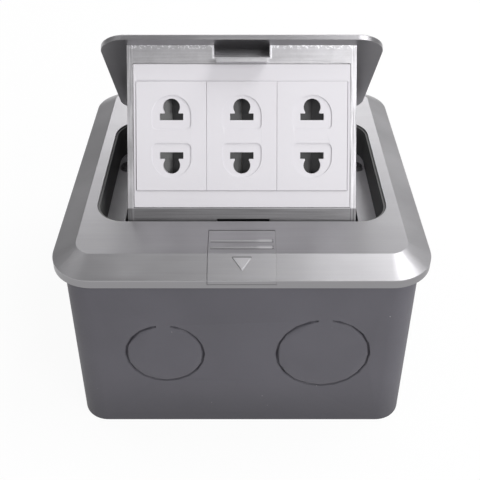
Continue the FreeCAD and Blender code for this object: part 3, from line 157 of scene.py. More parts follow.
# %% A material under construction
class Finish(Graph):
    """One material: its tree, its main shader, and the patterns that finishes are made of."""

    def __init__(self, name, **shader):
        self.material = bpy.data.materials.new(name)
        self.material.use_nodes = True
        super().__init__(self.material.node_tree)
        self.shader = self.tree.nodes.new("ShaderNodeBsdfPrincipled")
        output = self.tree.nodes.new("ShaderNodeOutputMaterial")
        self.tree.links.new(self.shader.outputs["BSDF"], output.inputs["Surface"])
        for socket, value in shader.items():
            self.set(socket.replace("_", " ").title().replace("Ior", "IOR"), value)

    def set(self, socket, value):
        self.plug(self.shader.inputs[socket], value)

    def place(self, stretch=(1, 1, 1)):
        """Where on the object, in millimetres, with each axis stretched."""
        where = self.node("ShaderNodeTexCoord", output="Object")
        scale = tuple(1 / (MM * value) for value in stretch)
        return self.node("ShaderNodeMapping", {}, {"Vector": where, "Scale": scale})

    def axis(self, name):
        """How far along X, Y or Z, in millimetres."""
        return self.node("ShaderNodeSeparateXYZ", {}, {"Vector": self.place()}, output=name)

    def band(self, name, low, high, soft):
        """1 between two places on an axis, with soft ends."""
        along = self.axis(name)
        return along.between(low - soft, low + soft) * (1 - along.between(high - soft, high + soft))

    def noise(self, size, detail=2.0, stretch=(1, 1, 1)):
        """Cloudy noise whose lumps are about this many millimetres."""
        inputs = {"Vector": self.place(stretch), "Scale": 1 / size, "Detail": detail}
        return self.node("ShaderNodeTexNoise", {}, inputs)

    def cells(self, size, stretch=(1, 1, 1)):
        """Distance to scattered points that lie about this many millimetres apart."""
        inputs = {"Vector": self.place(stretch), "Scale": 1 / size}
        return self.node("ShaderNodeTexVoronoi", {}, inputs)

    def mix(self, mask, first, second):
        """The first colour where the mask is 0, and the second where it is 1."""
        inputs = {0: mask, 6: first, 7: second}
        return self.node("ShaderNodeMix", {"data_type": "RGBA"}, inputs, output=2)

    def bump(self, height, depth, strength=1.0):
        """Relief from a height of 0 to 1 that is this many millimetres deep."""
        inputs = {"Height": height, "Distance": depth * MM, "Strength": strength}
        self.set("Normal", self.node("ShaderNodeBump", {}, inputs))


def grey(level, tint=(1.0, 0.985, 1.02)):
    """A colour written as the 0 to 255 grey it shows as, with a slight violet tint."""
    share = level / 255
    linear = share / 12.92 if share <= 0.04045 else ((share + 0.055) / 1.055) ** 2.4
    return tuple(linear * part for part in tint)


# %% [markdown]
# ## Satin plate
# The frame, the lid and the slide button are brushed along their length and then plated,
# which leaves fine streaks that catch the light. The streaks are noise that is stretched
# along X: they change the roughness and the colour a little and raise a very low relief.


# %% Satin metals
frame_low, frame_high = [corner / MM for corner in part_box("floor_frame")]
LIP_TOP = 69.0
BUTTON_HALF, BUTTON_REAR = 10.5, -40.8


def satin_colour(finish, level, rough):
    """Sets the roughness and relief of the brush streaks, and gives the colour that goes with them."""
    streaks = finish.noise(0.5, 3.0, (60, 1, 1))
    broad = finish.noise(9.0, 3.0, (5, 1, 1))
    stains = finish.noise(26.0, 4.0).between(0.45, 0.75)
    tone = streaks * 0.35 + broad * 0.4 + stains * 0.25
    finish.set("Roughness", streaks * 0.12 + stains * 0.05 + (rough - 0.08))
    finish.bump(streaks, 0.012, 0.5)
    return finish.mix(tone, grey(level - 14), grey(level + 14))


def lip_painted_shade(finish, satin):
    """The lip shows darker in the photograph than these lamps make it, so its colour goes down."""
    # painted shade: the upright lip is mixed towards a darker grey
    lip = 1 - finish.axis("Z").between(LIP_TOP - 0.5, LIP_TOP - 0.1)
    return finish.mix(lip * 0.8, satin, grey(142))


def frame_finish():
    """Satin outside, and left as cast below the top, inside the recess."""
    finish = Finish("frame satin plate")
    satin = lip_painted_shade(finish, satin_colour(finish, 167, 0.42))
    within = finish.band("X", -50.0, 50.0, 0.2) * finish.band("Y", -38.5, 41.5, 0.2)
    sunk = within * (1 - finish.axis("Z").between(frame_high.z - 2.6, frame_high.z - 1.4))
    cloud = finish.noise(6.0, 3.0)
    finish.set("Base Color", finish.mix(sunk, satin, finish.mix(cloud, grey(204), grey(224))))
    finish.set("Metallic", 1 - sunk * 0.95)
    return finish.material


def lid_finish():
    finish = Finish("lid satin plate", metallic=1.0)
    finish.set("Base Color", satin_colour(finish, 160, 0.40))
    return finish.material


RIDGE_MIDDLES = (-46.1, -49.3)
RIDGE_HALF = 0.7
ARROW_REAR, ARROW_POINT, ARROW_HALF = -53.6, -57.2, 2.9


def button_finish():
    """Satin too, with painted shade along the feet and right ends of the ridges and along the arrow's rear
    edge, a painted highlight on the ridges' right ends, and an unplated arrow.
    """
    finish = Finish("button satin plate", metallic=1.0)
    satin = lip_painted_shade(finish, satin_colour(finish, 170, 0.42))
    across = finish.axis("X").math("ABSOLUTE")
    # painted shade: dark lines along the feet of each ridge, at its right end, and along the arrow's rear
    # edge
    painted_shade = ridge = 0.0
    for middle in RIDGE_MIDDLES:
        ridge = finish.band("Y", middle - RIDGE_HALF, middle + RIDGE_HALF, 0.1) + ridge
        for side in (-RIDGE_HALF, RIDGE_HALF):
            painted_shade = finish.band("Y", middle + side - 0.14, middle + side + 0.14, 0.1) + painted_shade
    cap = finish.band("X", 9.5, 10.0, 0.06) * ridge
    # painted highlight: the right part of each ridge is lighter
    painted_highlight = finish.band("X", 5.0, 9.5, 1.2) * ridge
    painted_shade = painted_shade * (1 - across.between(9.6, 10.2)) + cap
    behind = finish.band("Y", ARROW_REAR - 0.1, ARROW_REAR + 0.45, 0.08)
    painted_shade = painted_shade * 0.55 + behind * (1 - across.between(ARROW_HALF - 0.1, ARROW_HALF + 0.2))
    slope = ARROW_HALF / (ARROW_REAR - ARROW_POINT)
    inside = across - (finish.axis("Y") - ARROW_POINT) * slope
    arrow = (1 - inside.between(0.05, 0.3)) * finish.band("Y", ARROW_POINT, ARROW_REAR, 0.05)
    lighter = finish.mix(arrow * 0.6 + painted_highlight * 0.7, satin, grey(196))
    finish.set("Base Color", finish.mix(painted_shade * 0.8, lighter, grey(70)))
    return finish.material


frame_plate, lid_plate, button_plate = frame_finish(), lid_finish(), button_finish()

# %% [markdown]
# ## Painted box, cast carrier
# The back box is thin steel under a dark grey coat with a few pale specks of dust. The
# socket carrier is a zinc casting left nearly as it came from the mould: its skin is grainy, its
# rims were wiped along their length with a wire brush, and its upper edge is worn bright.


# %% Coats and castings
def box_coat():
    finish = Finish("box grey coat", metallic=0.0, specular_ior_level=0.35)
    cloud = finish.noise(22.0, 3.0)
    grain = finish.noise(0.7, 3.0)
    speck = 1 - finish.cells(4.5).between(0.03, 0.055)
    # painted shade: the coat darkens towards the bottom of the box
    foot_shade = 1 - finish.axis("Z").between(0.0, 24.0)
    rare = finish.noise(14.0).between(0.54, 0.6)
    coat = finish.mix(cloud, grey(78, (1.0, 0.96, 1.13)), grey(91, (1.0, 0.96, 1.13)))
    darkened = finish.mix(foot_shade * 0.8, coat, grey(68, (1.0, 0.96, 1.13)))
    finish.set("Base Color", finish.mix(speck * rare, darkened, grey(150)))
    finish.set("Roughness", grain * 0.16 + 0.46)
    finish.bump(grain, 0.03, 0.6)
    return finish.material


def zinc_casting():
    """Grainy zinc with brush marks along each rim, patchy wear that brightens the top edge, a painted
    highlight down the notch's sides and a painted dark reflection along the bottom strip.
    """
    finish = Finish("carrier zinc casting", metallic=1.0)
    grain = finish.noise(0.55, 4.0)
    patch = finish.noise(4.0, 3.0)
    side = finish.axis("X").math("ABSOLUTE").between(RIM_INSIDE - 0.1, RIM_INSIDE + 0.1)
    across = finish.noise(0.45, 3.0, (40, 1, 1))
    lengthwise = finish.noise(0.5, 3.0, (1, 30, 30)).between(0.35, 0.65)
    streaks = across * (1 - side) + lengthwise * side
    down = finish.axis("Z")
    bottom = 1 - down.between(STRIP_TOP - 0.5, STRIP_TOP + 0.1)
    wear_and_notch_highlight = down.between(TAB_TOP - 1.4, TAB_TOP - 0.6) * finish.noise(0.8, 4.0).between(0.5, 0.62)
    # painted highlight: a bright line down each side of the notch, merged with the wear of the top edge
    notch = finish.axis("X").math("ABSOLUTE")
    notch_side = notch.between(9.05, 9.15) * (1 - notch.between(9.6, 9.9))
    notch_highlight = notch_side * down.between(TAB_TOP - 4, TAB_TOP - 3.5)
    wear_and_notch_highlight = wear_and_notch_highlight.math("MAXIMUM", notch_highlight)
    tone = patch * 0.35 + grain * 0.2 + streaks * 0.45
    skin = finish.mix(tone, grey(166), grey(230))
    # painted reflection: the strip along the bottom is darker, with the same streaks
    brushed_dark_reflection = finish.mix(streaks, grey(104), grey(146))
    colour = finish.mix(bottom, skin, brushed_dark_reflection)
    finish.set("Base Color", finish.mix(wear_and_notch_highlight * 0.85, colour, grey(250)))
    finish.set("Roughness", grain * 0.14 + streaks * 0.12 + 0.28)
    finish.bump(grain * 0.6 + streaks * 0.5 + wear_and_notch_highlight * 0.6, 0.04, 0.8)
    return finish.material


insert_low, insert_high = [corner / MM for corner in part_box("module_frame")]
RIM_INSIDE = insert_high.x
STRIP_TOP = insert_low.z + 1.2
TAB_TOP = insert_high.z + 5.3
box_paint = box_coat()
carrier_zinc = zinc_casting()

# %% [markdown]
# ## Plastics and rubber
# The modules and their surround are white plastic with a faint sheen. The shutters behind
# the openings are dark and smooth, so that each leaf shows as one even tone. The bases are
# matt, and the lining of the recess is black rubber.


# %% Mouldings
def moulded(name, level, rough, tint=(1.0, 0.975, 1.025), grain_depth=0.01, coat=0.0):
    finish = Finish(name, specular_ior_level=0.45, coat_weight=coat, coat_roughness=0.2)
    grain = finish.noise(0.35, 2.0)
    cloud = finish.noise(18.0, 2.0)
    finish.set("Base Color", finish.mix(cloud, grey(level - 2, tint), grey(level + 2, tint)))
    finish.set("Roughness", grain * 0.08 + rough)
    finish.bump(grain, grain_depth, 0.5)
    return finish.material


white_plastic = moulded("module white plastic", 211, 0.34)
shutter_plastic = moulded("shutter dark plastic", 62, 0.3, (1, 1, 1.02))
base_plastic = moulded("base grey plastic", 205, 0.55)
black_rubber = moulded("lining black rubber", 88, 0.55, (1, 1, 1), 0.03)

# %% [markdown]
# ## Small metals
# Screws are zinc plated, wire and pin are plain bright steel, and what carries current is
# brass that has begun to tarnish.


# %% Screw, wire and brass
def bright_metal(name, colour, darkened, rough):
    finish = Finish(name, metallic=1.0)
    tarnish = finish.noise(1.6, 4.0).between(0.4, 0.75)
    scratch = finish.noise(0.12, 2.0, (14, 1, 1))
    finish.set("Base Color", finish.mix(tarnish, colour, darkened))
    finish.set("Roughness", tarnish * 0.15 + scratch * 0.1 + rough)
    finish.bump(scratch, 0.006, 0.4)
    return finish.material


zinc_plate = bright_metal("screw zinc plate", grey(190), grey(150), 0.22)
wire_steel = bright_metal("spring wire steel", grey(185), grey(140), 0.2)
brass = bright_metal("contact brass", (0.72, 0.5, 0.2), (0.42, 0.27, 0.1), 0.22)
slider_steel = bright_metal("slider plain steel", grey(160), grey(125), 0.34)

SLOT_FINISH = {
    "frame_steel": frame_plate, "lid_steel": lid_plate,
    "box_steel": box_paint, "carrier_metal": carrier_zinc,
    "slider_steel": slider_steel, "pin_steel": wire_steel,
    "spring_steel": wire_steel, "zinc_screw": zinc_plate,
    "brass": brass, "white_plastic": white_plastic, "shutter_plastic": shutter_plastic,
    "base_plastic": base_plastic, "black_rubber": black_rubber,
}
node_slot = {part["node"]: part["material_slot"] for part in frame["record"]["subparts"]}
bodies = frame["record"]["behaviour"]["bodies"]
node_body = {node: body for body, members in bodies.items() for node in members}


def node_finish(node):
    """The finish of a node's slot, or the button's own, which knows where its ridges are."""
    return button_plate if node == "latch_button" else SLOT_FINISH[node_slot[node]]


for name, piece in nodes.items():
    piece.data.materials.clear()
    piece.data.materials.append(node_finish(name))
print("finishes:", len(set(SLOT_FINISH.values())))

# %% [markdown]
# ## Rounded edges
# No real edge is perfectly sharp, and the thin line of light along an edge is most of what
# tells the eye that a thing is solid. A CAD mesh is a soup of flat triangles, so a copy is
# welded and its flat areas joined into single faces. Then a Bevel rounds every edge that is
# sharper than a limit. Where one piece needs rounder edges in one place, its edges carry a
# weight instead.


# %% Round the edges of a CAD piece
def welded_copy(node):
    """The node's mesh as one welded skin with its flat areas joined."""
    mesh = bmesh.new()
    mesh.from_mesh(nodes[node].data)
    bmesh.ops.remove_doubles(mesh, verts=mesh.verts, dist=0.002 * MM)
    bmesh.ops.dissolve_limit(
        mesh, angle_limit=math.radians(0.6), verts=mesh.verts, edges=mesh.edges,
        use_dissolve_boundaries=False,
    )
    wide = [face for face in mesh.faces if len(face.verts) > 4]
    bmesh.ops.triangulate(mesh, faces=wide, ngon_method="EAR_CLIP")
    return mesh


def plain(piece):
    """The object's mesh with its modifiers applied."""
    bpy.context.view_layer.update()
    result = bpy.data.meshes.new_from_object(piece.evaluated_get(bpy.context.evaluated_depsgraph_get()))
    piece.modifiers.clear()
    piece.data = result
    return piece


def finish_piece(piece, body, material):
    """Gives the piece its finish, and its body if it has one."""
    piece.data.materials.clear()
    piece.data.materials.append(material)
    if body:
        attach(piece, body)
    return piece


def rounded(node, radius, weigh=None, segments=2, angle=24.0, nudge=None):
    """A copy of a node with round edges. weigh gives an edge's share of the radius, 0 to 1,
    and nudge moves a point by a hair first, to close a gap."""
    mesh = welded_copy(node)
    if nudge:
        for vert in mesh.verts:
            vert.co += nudge(vert.co / MM) * MM
    if weigh:
        layer = mesh.edges.layers.float.new("bevel_weight_edge")
        for edge in mesh.edges:
            if len(edge.link_faces) == 2 and edge.calc_face_angle() > math.radians(angle):
                edge[layer] = weigh((edge.verts[0].co + edge.verts[1].co) / 2 / MM)
    data = bpy.data.meshes.new(f"{node}_rounded")
    mesh.to_mesh(data)
    mesh.free()
    data.shade_smooth()
    piece = bpy.data.objects.new(f"{node}_rounded", data)
    bpy.context.scene.collection.objects.link(piece)
    bevel = piece.modifiers.new("round", "BEVEL")
    bevel.width = radius * MM
    bevel.segments = segments
    bevel.limit_method = "WEIGHT" if weigh else "ANGLE"
    bevel.angle_limit = math.radians(angle)
    bevel.use_clamp_overlap = True
    bevel.miter_outer = "MITER_ARC"
    flatten = piece.modifiers.new("flat areas stay flat", "WEIGHTED_NORMAL")
    flatten.weight = 100
    flatten.keep_sharp = False
    plain(piece)
    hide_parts(node)
    finish_piece(piece, node_body[node], node_finish(node))
    print(node, "rounded:", len(piece.data.polygons), "faces")
    return piece


# %% [markdown]
# ## Which edges are rounder
# The frame is cast and polished, so the folds between its flat top, its bevel and its lip
# are soft, while the cut for the button stays crisp. The heights of those folds come from
# the frame's own box.

# %% The edges of the frame and its button
FLAT_HALF = 52.3


def frame_fold(point):
    """Share of the radius for an edge of the frame, by where it lies."""
    outside = max(abs(point.x), abs(point.y))
    if abs(point.x) < BUTTON_HALF + 0.5 and point.y < BUTTON_REAR + 0.5:
        return 0.03
    if abs(point.z - frame_high.z) < 0.05 and outside > FLAT_HALF - 1.5:
        return 1.0
    if abs(point.z - LIP_TOP) < 0.05 and outside > FLAT_HALF:
        return 0.6
    if abs(point.z - frame_high.z) < 0.05:
        return 0.35
    return 0.12


def box_edge(point):
    """The box is rounded at its bottom and its rim, and its slits stay as they were stamped."""
    return 1.0 if point.z < 2.5 or point.z > LIP_TOP - 3.5 else 0.0


rounded("floor_frame", 1.0, frame_fold, segments=3)
rounded("lid", 0.35, segments=2)
rounded("socket_carrier", 0.2, segments=2)
rounded("module_frame", 0.2)
rounded("back_box", 0.5, box_edge)

# %% [markdown]
# ## Gaps that don't show
# The CAD model leaves a running gap round the button and each module. In the photograph some
# of these gaps don't show as dark lines, so those edges are moved out by about 0.1 mm.


# %% Fits that are closer than a running gap
PLATE_UP = Vector((0, math.cos(math.radians(59.8)), math.sin(math.radians(59.8))))
TOP_LINE = max((vert.co / MM).dot(PLATE_UP) for vert in nodes["module_face_2"].data.vertices)
SNUG_RIGHT, SNUG_REAR = 0.11, 0.135


def button_to_right(point):
    """The photograph shows no dark line at the button's right and rear, so these edges move out."""
    right = SNUG_RIGHT if point.x > BUTTON_HALF - 0.1 and point.z > LIP_TOP - 3.2 else 0.0
    rear = SNUG_REAR if point.y > BUTTON_REAR - 0.1 and point.z > LIP_TOP else 0.0
    return Vector((right, rear, 0))


def module_to_top(point):
    """The photograph shows no dark line above a module, so its upper edge moves out."""
    return PLATE_UP * 0.085 if point.dot(PLATE_UP) > TOP_LINE - 0.05 else Vector()


rounded("latch_button", 0.035, nudge=button_to_right)
for number in (1, 2, 3):
    rounded(f"module_face_{number}", 0.22, segments=3, nudge=module_to_top)
    rounded(f"module_base_{number}", 0.2)

# %% [markdown]
# ## Shutter leaves that meet
# Behind each opening two dark leaves close the socket, and they slide apart together. In the
# CAD model a hair of room is left between them. A copy of each leaf has its inner edge moved
# close to the other's, so that nothing behind them shows through.


# %% Closed shutters
MODULE_PITCH = 23.0
LEAF_ROOM = 0.3
LEAF_CLOSE = 0.02


def closed_leaf(node, middle):
    """A leaf whose inner edge stands a hair from its module's middle."""
    mesh = welded_copy(node)
    for vert in mesh.verts:
        away = vert.co.x / MM - middle
        if abs(away) < LEAF_ROOM:
            vert.co.x = (middle + math.copysign(LEAF_CLOSE, away)) * MM
    data = bpy.data.meshes.new(f"{node}_closed")
    mesh.to_mesh(data)
    mesh.free()
    piece = bpy.data.objects.new(f"{node}_closed", data)
    bpy.context.scene.collection.objects.link(piece)
    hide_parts(node)
    finish_piece(piece, node_body[node], shutter_plastic)


for number in (1, 2, 3):
    for side in ("left", "right"):
        closed_leaf(f"shutter_{side}_{number}", (number - 2) * MODULE_PITCH)
print("shutter leaves closed: 6")

# %% [markdown]
# ## Geometry Nodes, from a recipe
# Screws repeat and springs follow a path, so a node tree makes them: `Recipe` is a Graph
# with named sizes as its inputs. `grow` gives the tree its points, sets each input by the
# socket's identifier, and keeps the result as a plain mesh.


# %% A recipe and its use
class Recipe(Graph):
    """A Geometry Nodes tree with named sizes in millimetres."""

    def __init__(self, name, *sizes):
        super().__init__(bpy.data.node_groups.new(name, "GeometryNodeTree"))
        face = self.tree.interface
        face.new_socket("Points", in_out="INPUT", socket_type="NodeSocketGeometry")
        face.new_socket("Pieces", in_out="OUTPUT", socket_type="NodeSocketGeometry")
        for size in sizes:
            face.new_socket(size, in_out="INPUT", socket_type="NodeSocketFloat")
        self.entry = self.tree.nodes.new("NodeGroupInput")
        self.points = Wire(self, self.entry.outputs["Points"])

    def size(self, name):
        return Wire(self, self.entry.outputs[name])

    def vector(self, x=0.0, y=0.0, z=0.0):
        return self.node("ShaderNodeCombineXYZ", {}, {"X": x, "Y": y, "Z": z})

    def serve(self, geometry, material):
        real = self.node("GeometryNodeRealizeInstances", {}, {"Geometry": geometry})
        made = self.node("GeometryNodeSetMaterial", {}, {"Geometry": real, "Material": material})
        self.plug(self.tree.nodes.new("NodeGroupOutput").inputs[0], made)


def grow(name, recipe, points, edges, sizes, node, rides=True):
    """The pieces that the recipe makes at these points, in place of a CAD node."""
    data = bpy.data.meshes.new(name)
    data.from_pydata([point * MM for point in points], edges, [])
    piece = bpy.data.objects.new(name, data)
    bpy.context.scene.collection.objects.link(piece)
    modifier = piece.modifiers.new("recipe", "NODES")
    modifier.node_group = recipe.tree
    for item in recipe.tree.interface.items_tree:
        if item.name in sizes:
            modifier[item.identifier] = float(sizes[item.name])
    plain(piece)
    piece.data.shade_smooth()
    piece.data.set_sharp_from_angle(angle=math.radians(38))
    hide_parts(node)
    finish_piece(piece, node_body[node] if rides else None, SLOT_FINISH[node_slot[node]])
    print(name, "has", len(piece.data.polygons), "faces")
    return piece


# %% [markdown]
# ## Springs
# A spring is one round wire bent along a path. The path is worked out point by point, and
# the recipe turns its edges into a curve, sweeps a circle along it and closes the ends. The
# two hinge springs wind round the pin and press one leg up under the frame, and the two
# small ones push the latch back. On the real part one end stays with the base and the other
# follows the lid or the latch; here the wires stay where they are made and follow no body.


# %% Round wire along a path
def wire_recipe():
    recipe = Recipe("round wire along a path", "Wire radius")
    path = recipe.node("GeometryNodeMeshToCurve", {}, {"Mesh": recipe.points})
    radius = recipe.size("Wire radius") * MM
    ring = recipe.node("GeometryNodeCurvePrimitiveCircle", {}, {"Resolution": 10, "Radius": radius})
    sweep = {"Curve": path, "Profile Curve": ring, "Fill Caps": True}
    recipe.serve(recipe.node("GeometryNodeCurveToMesh", {}, sweep), wire_steel)
    return recipe


def chains(*paths):
    """Points and edges of several open paths."""
    points, edges = [], []
    for path in paths:
        edges += [(len(points) + i, len(points) + i + 1) for i in range(len(path) - 1)]
        points += path
    return points, edges


STEPS_A_TURN = 20
HINGE_WIRE, LATCH_WIRE = 0.32, 0.18


# %% Hinge springs
def hinge_spring_path():
    """The left spring: rear leg, coil round the pin, front leg and its hook in the cheek."""
    pin_low, pin_high = [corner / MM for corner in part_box("hinge_pin")]
    pin = (pin_low + pin_high) / 2
    coil_radius, pitch, turns, leg, wire = 2.1, 1.15, 4.0, 9.2, HINGE_WIRE
    rise, fall = math.radians(26.0), math.radians(7.0)
    height = pitch * (turns + (rise - fall) / math.tau)
    low = [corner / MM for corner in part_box("hinge_springs")][0]
    coil_end = low.x + 1.12 + 2 * wire + wire
    back = Vector((0, math.cos(rise), math.sin(rise)))
    out = Vector((0, math.sin(rise), -math.cos(rise)))
    down = -back
    count = round(turns * STEPS_A_TURN)
    coil = []
    for step in range(count + 1):
        share = step / count
        angle = math.tau * height / pitch * share
        across = out * math.cos(angle) + down * math.sin(angle)
        coil.append(Vector((coil_end + height * (1 - share), pin.y, pin.z)) + across * coil_radius)
    forward = Vector((0, -math.cos(fall), -math.sin(fall)))
    knee = coil[-1] + forward * leg * 0.7
    hook = [
        knee + forward * wire * 1.4 - Vector((wire * 0.6, 0, 0)),
        knee + forward * wire * 2 - Vector((wire * 2, 0, 0)),
        knee + forward * wire * 2 - Vector((wire * 2 + 1.12, 0, 0)),
    ]
    return [coil[0] + back * leg, *coil, knee, *hook]


round_wire = wire_recipe()
left_path = hinge_spring_path()
right_path = [Vector((-point.x, point.y, point.z)) for point in left_path]
hinge_coils = chains(left_path, right_path)
hinge_wire = {"Wire radius": HINGE_WIRE}
coils = grow("hinge_spring_wire", round_wire, *hinge_coils, hinge_wire, "hinge_springs", rides=False)
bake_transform(coils)


# %% Latch springs
def latch_spring_paths():
    low, high = [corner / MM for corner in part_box("latch_springs")]
    middle, turns, wire = (low + high) / 2, 5.0, LATCH_WIRE
    radius = (high.z - low.z) / 2 - wire - 0.02
    paths = []
    for side in (-1, 1):
        x = side * (high.x - radius - wire - 0.02)
        path = []
        for step in range(round(turns * STEPS_A_TURN) + 1):
            share = step / (turns * STEPS_A_TURN)
            angle = math.tau * turns * share
            y = low.y + wire + (high.y - low.y - 2 * wire) * share
            path.append(Vector((x + radius * math.cos(angle), y, middle.z + radius * math.sin(angle))))
        paths.append(path)
    return paths


latch_coils = chains(*latch_spring_paths())
latch_wire = {"Wire radius": LATCH_WIRE}
coils = grow("latch_spring_wire", round_wire, *latch_coils, latch_wire, "latch_springs", rides=False)
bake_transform(coils)

# %% [markdown]
# ## Screws
# Every screw is the same thing in another size: a head with a cross cut into it, a core,
# and a thread that winds round the core. The recipe makes one and puts it on every point.
# The points are read from the CAD screws, one where each head meets its seat. Screws that
# hang are turned over, and those on the lid and the modules lean with them.


# %% A screw on every point
def screw_recipe():
    recipe = Recipe(
        "cross-head screw on every point",
        "Head radius", "Head height", "Shank radius", "Shank length", "Pitch", "Lean",
    )
    head, tall = recipe.size("Head radius") * MM, recipe.size("Head height") * MM
    shank, long = recipe.size("Shank radius") * MM, recipe.size("Shank length") * MM
    pitch = recipe.size("Pitch") * MM
    cap = recipe.node(
        "GeometryNodeMeshCone", {},
        {"Vertices": 32, "Radius Bottom": head, "Radius Top": head * 0.84, "Depth": tall}, "Mesh",
    )
    bars = []
    for wide, deep in ((1.1, 0.22), (0.22, 1.1)):
        block = recipe.vector(head * wide, head * deep, tall)
        bar = recipe.node("GeometryNodeMeshCube", {}, {"Size": block})
        lift = {"Geometry": bar, "Translation": recipe.vector(z=tall * 1.05)}
        bars.append(recipe.node("GeometryNodeTransform", {}, lift))
    cross = {"Mesh 1": cap, "Mesh 2": bars}
    capped = recipe.node("GeometryNodeMeshBoolean", {"operation": "DIFFERENCE"}, cross)
    core = recipe.node(
        "GeometryNodeMeshCylinder", {},
        {"Vertices": 20, "Radius": shank - pitch * 0.3, "Depth": long}, "Mesh",
    )
    hang = {"Geometry": core, "Translation": recipe.vector(z=long * -0.5)}
    core = recipe.node("GeometryNodeTransform", {}, hang)
    wound = long - pitch
    radius = shank - pitch * 0.36
    helix = recipe.node(
        "GeometryNodeCurveSpiral", {},
        {"Resolution": 16, "Rotations": wound.math("DIVIDE", pitch), "Start Radius": radius,
         "End Radius": radius, "Height": wound},
    )
    upright = recipe.node("GeometryNodeSetCurveNormal", {"mode": "Z_UP"}, {"Curve": helix})
    ridge = recipe.node("GeometryNodeCurvePrimitiveCircle", {}, {"Resolution": 4, "Radius": pitch * 0.33})
    sweep = {"Curve": upright, "Profile Curve": ridge, "Fill Caps": True}
    thread = recipe.node("GeometryNodeCurveToMesh", {}, sweep)
    drop = {"Geometry": thread, "Translation": recipe.vector(z=long * -1 + pitch * 0.5)}
    thread = recipe.node("GeometryNodeTransform", {}, drop)
    screw = recipe.node("GeometryNodeJoinGeometry", {}, {"Geometry": [capped, core, thread]})
    spread = {"Points": recipe.points, "Instance": screw, "Rotation": recipe.vector(x=recipe.size("Lean"))}
    recipe.serve(recipe.node("GeometryNodeInstanceOnPoints", {}, spread), zinc_plate)
    return recipe


# %% Where the CAD screws are
def loose_parts(node):
    """The separate shells of a node, each as a list of its points in millimetres."""
    mesh = welded_copy(node)
    left = set(mesh.verts)
    parts = []
    while left:
        group = [left.pop()]
        for vert in group:
            near = {edge.other_vert(vert) for edge in vert.link_edges} & left
            left -= near
            group.extend(near)
        parts.append([vert.co / MM for vert in group])
    mesh.free()
    return sorted(parts, key=lambda part: (round(part[0].x), round(part[0].z)))


def seats(node, lean, head_height):
    """The point on each screw's axis where its head begins."""
    way = Vector((0, -math.sin(lean), math.cos(lean)))
    other = Vector((0, math.cos(lean), math.sin(lean)))
    found = []
    for part in loose_parts(node):
        top = max(point.dot(way) for point in part) - head_height
        side = [point.dot(other) for point in part]
        across = [point.x for point in part]
        middle = Vector((min(across) + max(across), 0, 0)) / 2
        found.append(middle + other * (min(side) + max(side)) / 2 + way * top)
    return found


# %% Screws of every size
LID_OPEN = math.radians(51.0)
PLATE_LEAN = math.radians(180.0 - 69.2) - LID_OPEN
SCREWS = {
    "frame_screws": (2.7, 1.9, 1.65, 11.2, 0.8, 0.0),
    "lid_screws": (2.4, 1.3, 1.3, 1.4, 0.5, math.pi - LID_OPEN),
    "terminal_screws": (1.7, 1.2, 1.1, 0.8, 0.4, PLATE_LEAN - math.pi),
    "guide_screws": (1.5, 0.8, 0.8, 3.4, 0.4, math.pi),
    "latch_screw": (2.0, 1.0, 1.1, 4.8, 0.5, math.pi),
    "earth_screw": (3.3, 2.2, 1.7, 0.8, 0.6, 0.0),
}
cross_screw = screw_recipe()
for node, (head, tall, shank, long, pitch, lean) in SCREWS.items():
    sizes = {
        "Head radius": head * 0.97, "Head height": tall, "Shank radius": shank * 0.95,
        "Shank length": long, "Pitch": pitch, "Lean": lean,
    }
    grow(f"{node}_cut", cross_screw, seats(node, lean, tall), [], sizes, node)

# %% [markdown]
# ## Floor, lamps and surroundings
# The part stands on a plain white floor. Whatever the camera or a shiny surface sees of the
# floor is nearly pure white, as in a catalogue picture, and a little of the real floor is
# mixed in so that it keeps a soft shadow. Three of the seven lamps stand on the right, the
# two strongest among them. Two weak ones stand on the left, one behind and one in front.


# %% Floor
def seen_directly(finish):
    """1 for what the camera sees, itself or in a shiny or clear surface."""
    kinds = ("Camera", "Glossy", "Transmission")
    ray = [finish.node("ShaderNodeLightPath", output=f"Is {kind} Ray") for kind in kinds]
    return ray[0].math("MAXIMUM", ray[1]).math("MAXIMUM", ray[2])


def pale_floor():
    finish = Finish("pale floor", roughness=0.9, specular_ior_level=0.1)
    finish.set("Base Color", (0.82, 0.82, 0.82))
    glow = finish.node("ShaderNodeEmission", {}, {"Color": (1, 1, 1), "Strength": 1.0})
    seen = seen_directly(finish) * 0.93
    shader = Wire(finish, finish.shader.outputs["BSDF"])
    both = finish.node("ShaderNodeMixShader", {}, {0: seen, 1: shader, 2: glow})
    output = next(node for node in finish.tree.nodes if node.type == "OUTPUT_MATERIAL")
    finish.plug(output.inputs["Surface"], both)
    return finish.material


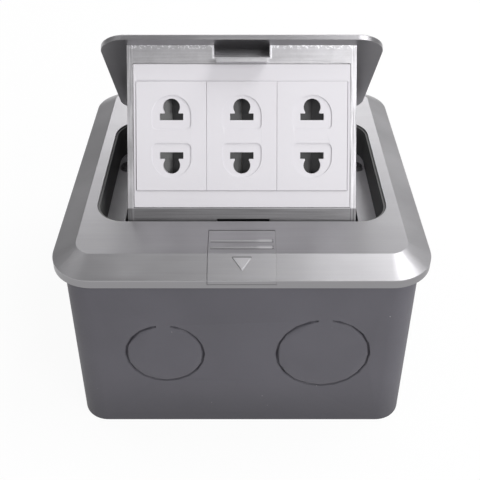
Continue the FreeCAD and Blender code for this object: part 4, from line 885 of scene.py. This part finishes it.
def floor_plane():
    mesh = bmesh.new()
    bmesh.ops.create_grid(mesh, x_segments=1, y_segments=1, size=3.0)
    data = bpy.data.meshes.new("floor")
    mesh.to_mesh(data)
    mesh.free()
    floor = bpy.data.objects.new("floor", data)
    bpy.context.scene.collection.objects.link(floor)
    floor.data.materials.append(pale_floor())


floor_plane()


# %% Lamps
def soft_lamp(name, place, aim, size, power):
    data = bpy.data.lights.new(name, "AREA")
    data.shape = "RECTANGLE"
    data.size, data.size_y = size
    data.energy = power
    lamp = bpy.data.objects.new(name, data)
    lamp.location = Vector(place)
    lamp.rotation_euler = (Vector(aim) - lamp.location).to_track_quat("-Z", "Y").to_euler()
    bpy.context.scene.collection.objects.link(lamp)


for lamp in (
    ("top_right", (0.45, 0.0, 0.9), (0, 0, 0.07), (0.5, 0.5), 4.8),
    ("near_right", (0.5, -0.6, 0.5), (0, 0, 0.1), (0.4, 0.4), 4.2),
    ("rear_middle", (0.0, 0.9, 0.5), (0, 0, 0.07), (0.7, 0.4), 2.5),
    ("rear_right", (0.6, 0.65, 0.6), (0, 0, 0.07), (0.5, 0.5), 1.3),
    ("top_left", (-0.5, 0.3, 0.9), (0, 0, 0.07), (0.3, 0.3), 1.4),
    ("fill_front", (0.05, -0.9, 0.35), (0, 0, 0.08), (0.8, 0.4), 0.5),
    ("fill_left", (-0.6, -0.3, 0.5), (0, 0, 0.08), (0.6, 0.6), 0.3),
):
    soft_lamp(*lamp)


# %% Surroundings
def pale_world():
    world = bpy.data.worlds.new("studio")
    bpy.context.scene.world = world
    world.use_nodes = True
    tree = world.node_tree
    background = tree.nodes["Background"]
    background.inputs["Color"].default_value = (1, 1, 1, 1)
    path = tree.nodes.new("ShaderNodeLightPath")
    strength = tree.nodes.new("ShaderNodeMapRange")
    strength.inputs["To Min"].default_value = 0.33
    strength.inputs["To Max"].default_value = 1.0
    tree.links.new(path.outputs["Is Camera Ray"], strength.inputs["Value"])
    tree.links.new(strength.outputs["Result"], background.inputs["Strength"])


pale_world()
bpy.context.scene.view_settings.view_transform = "Standard"
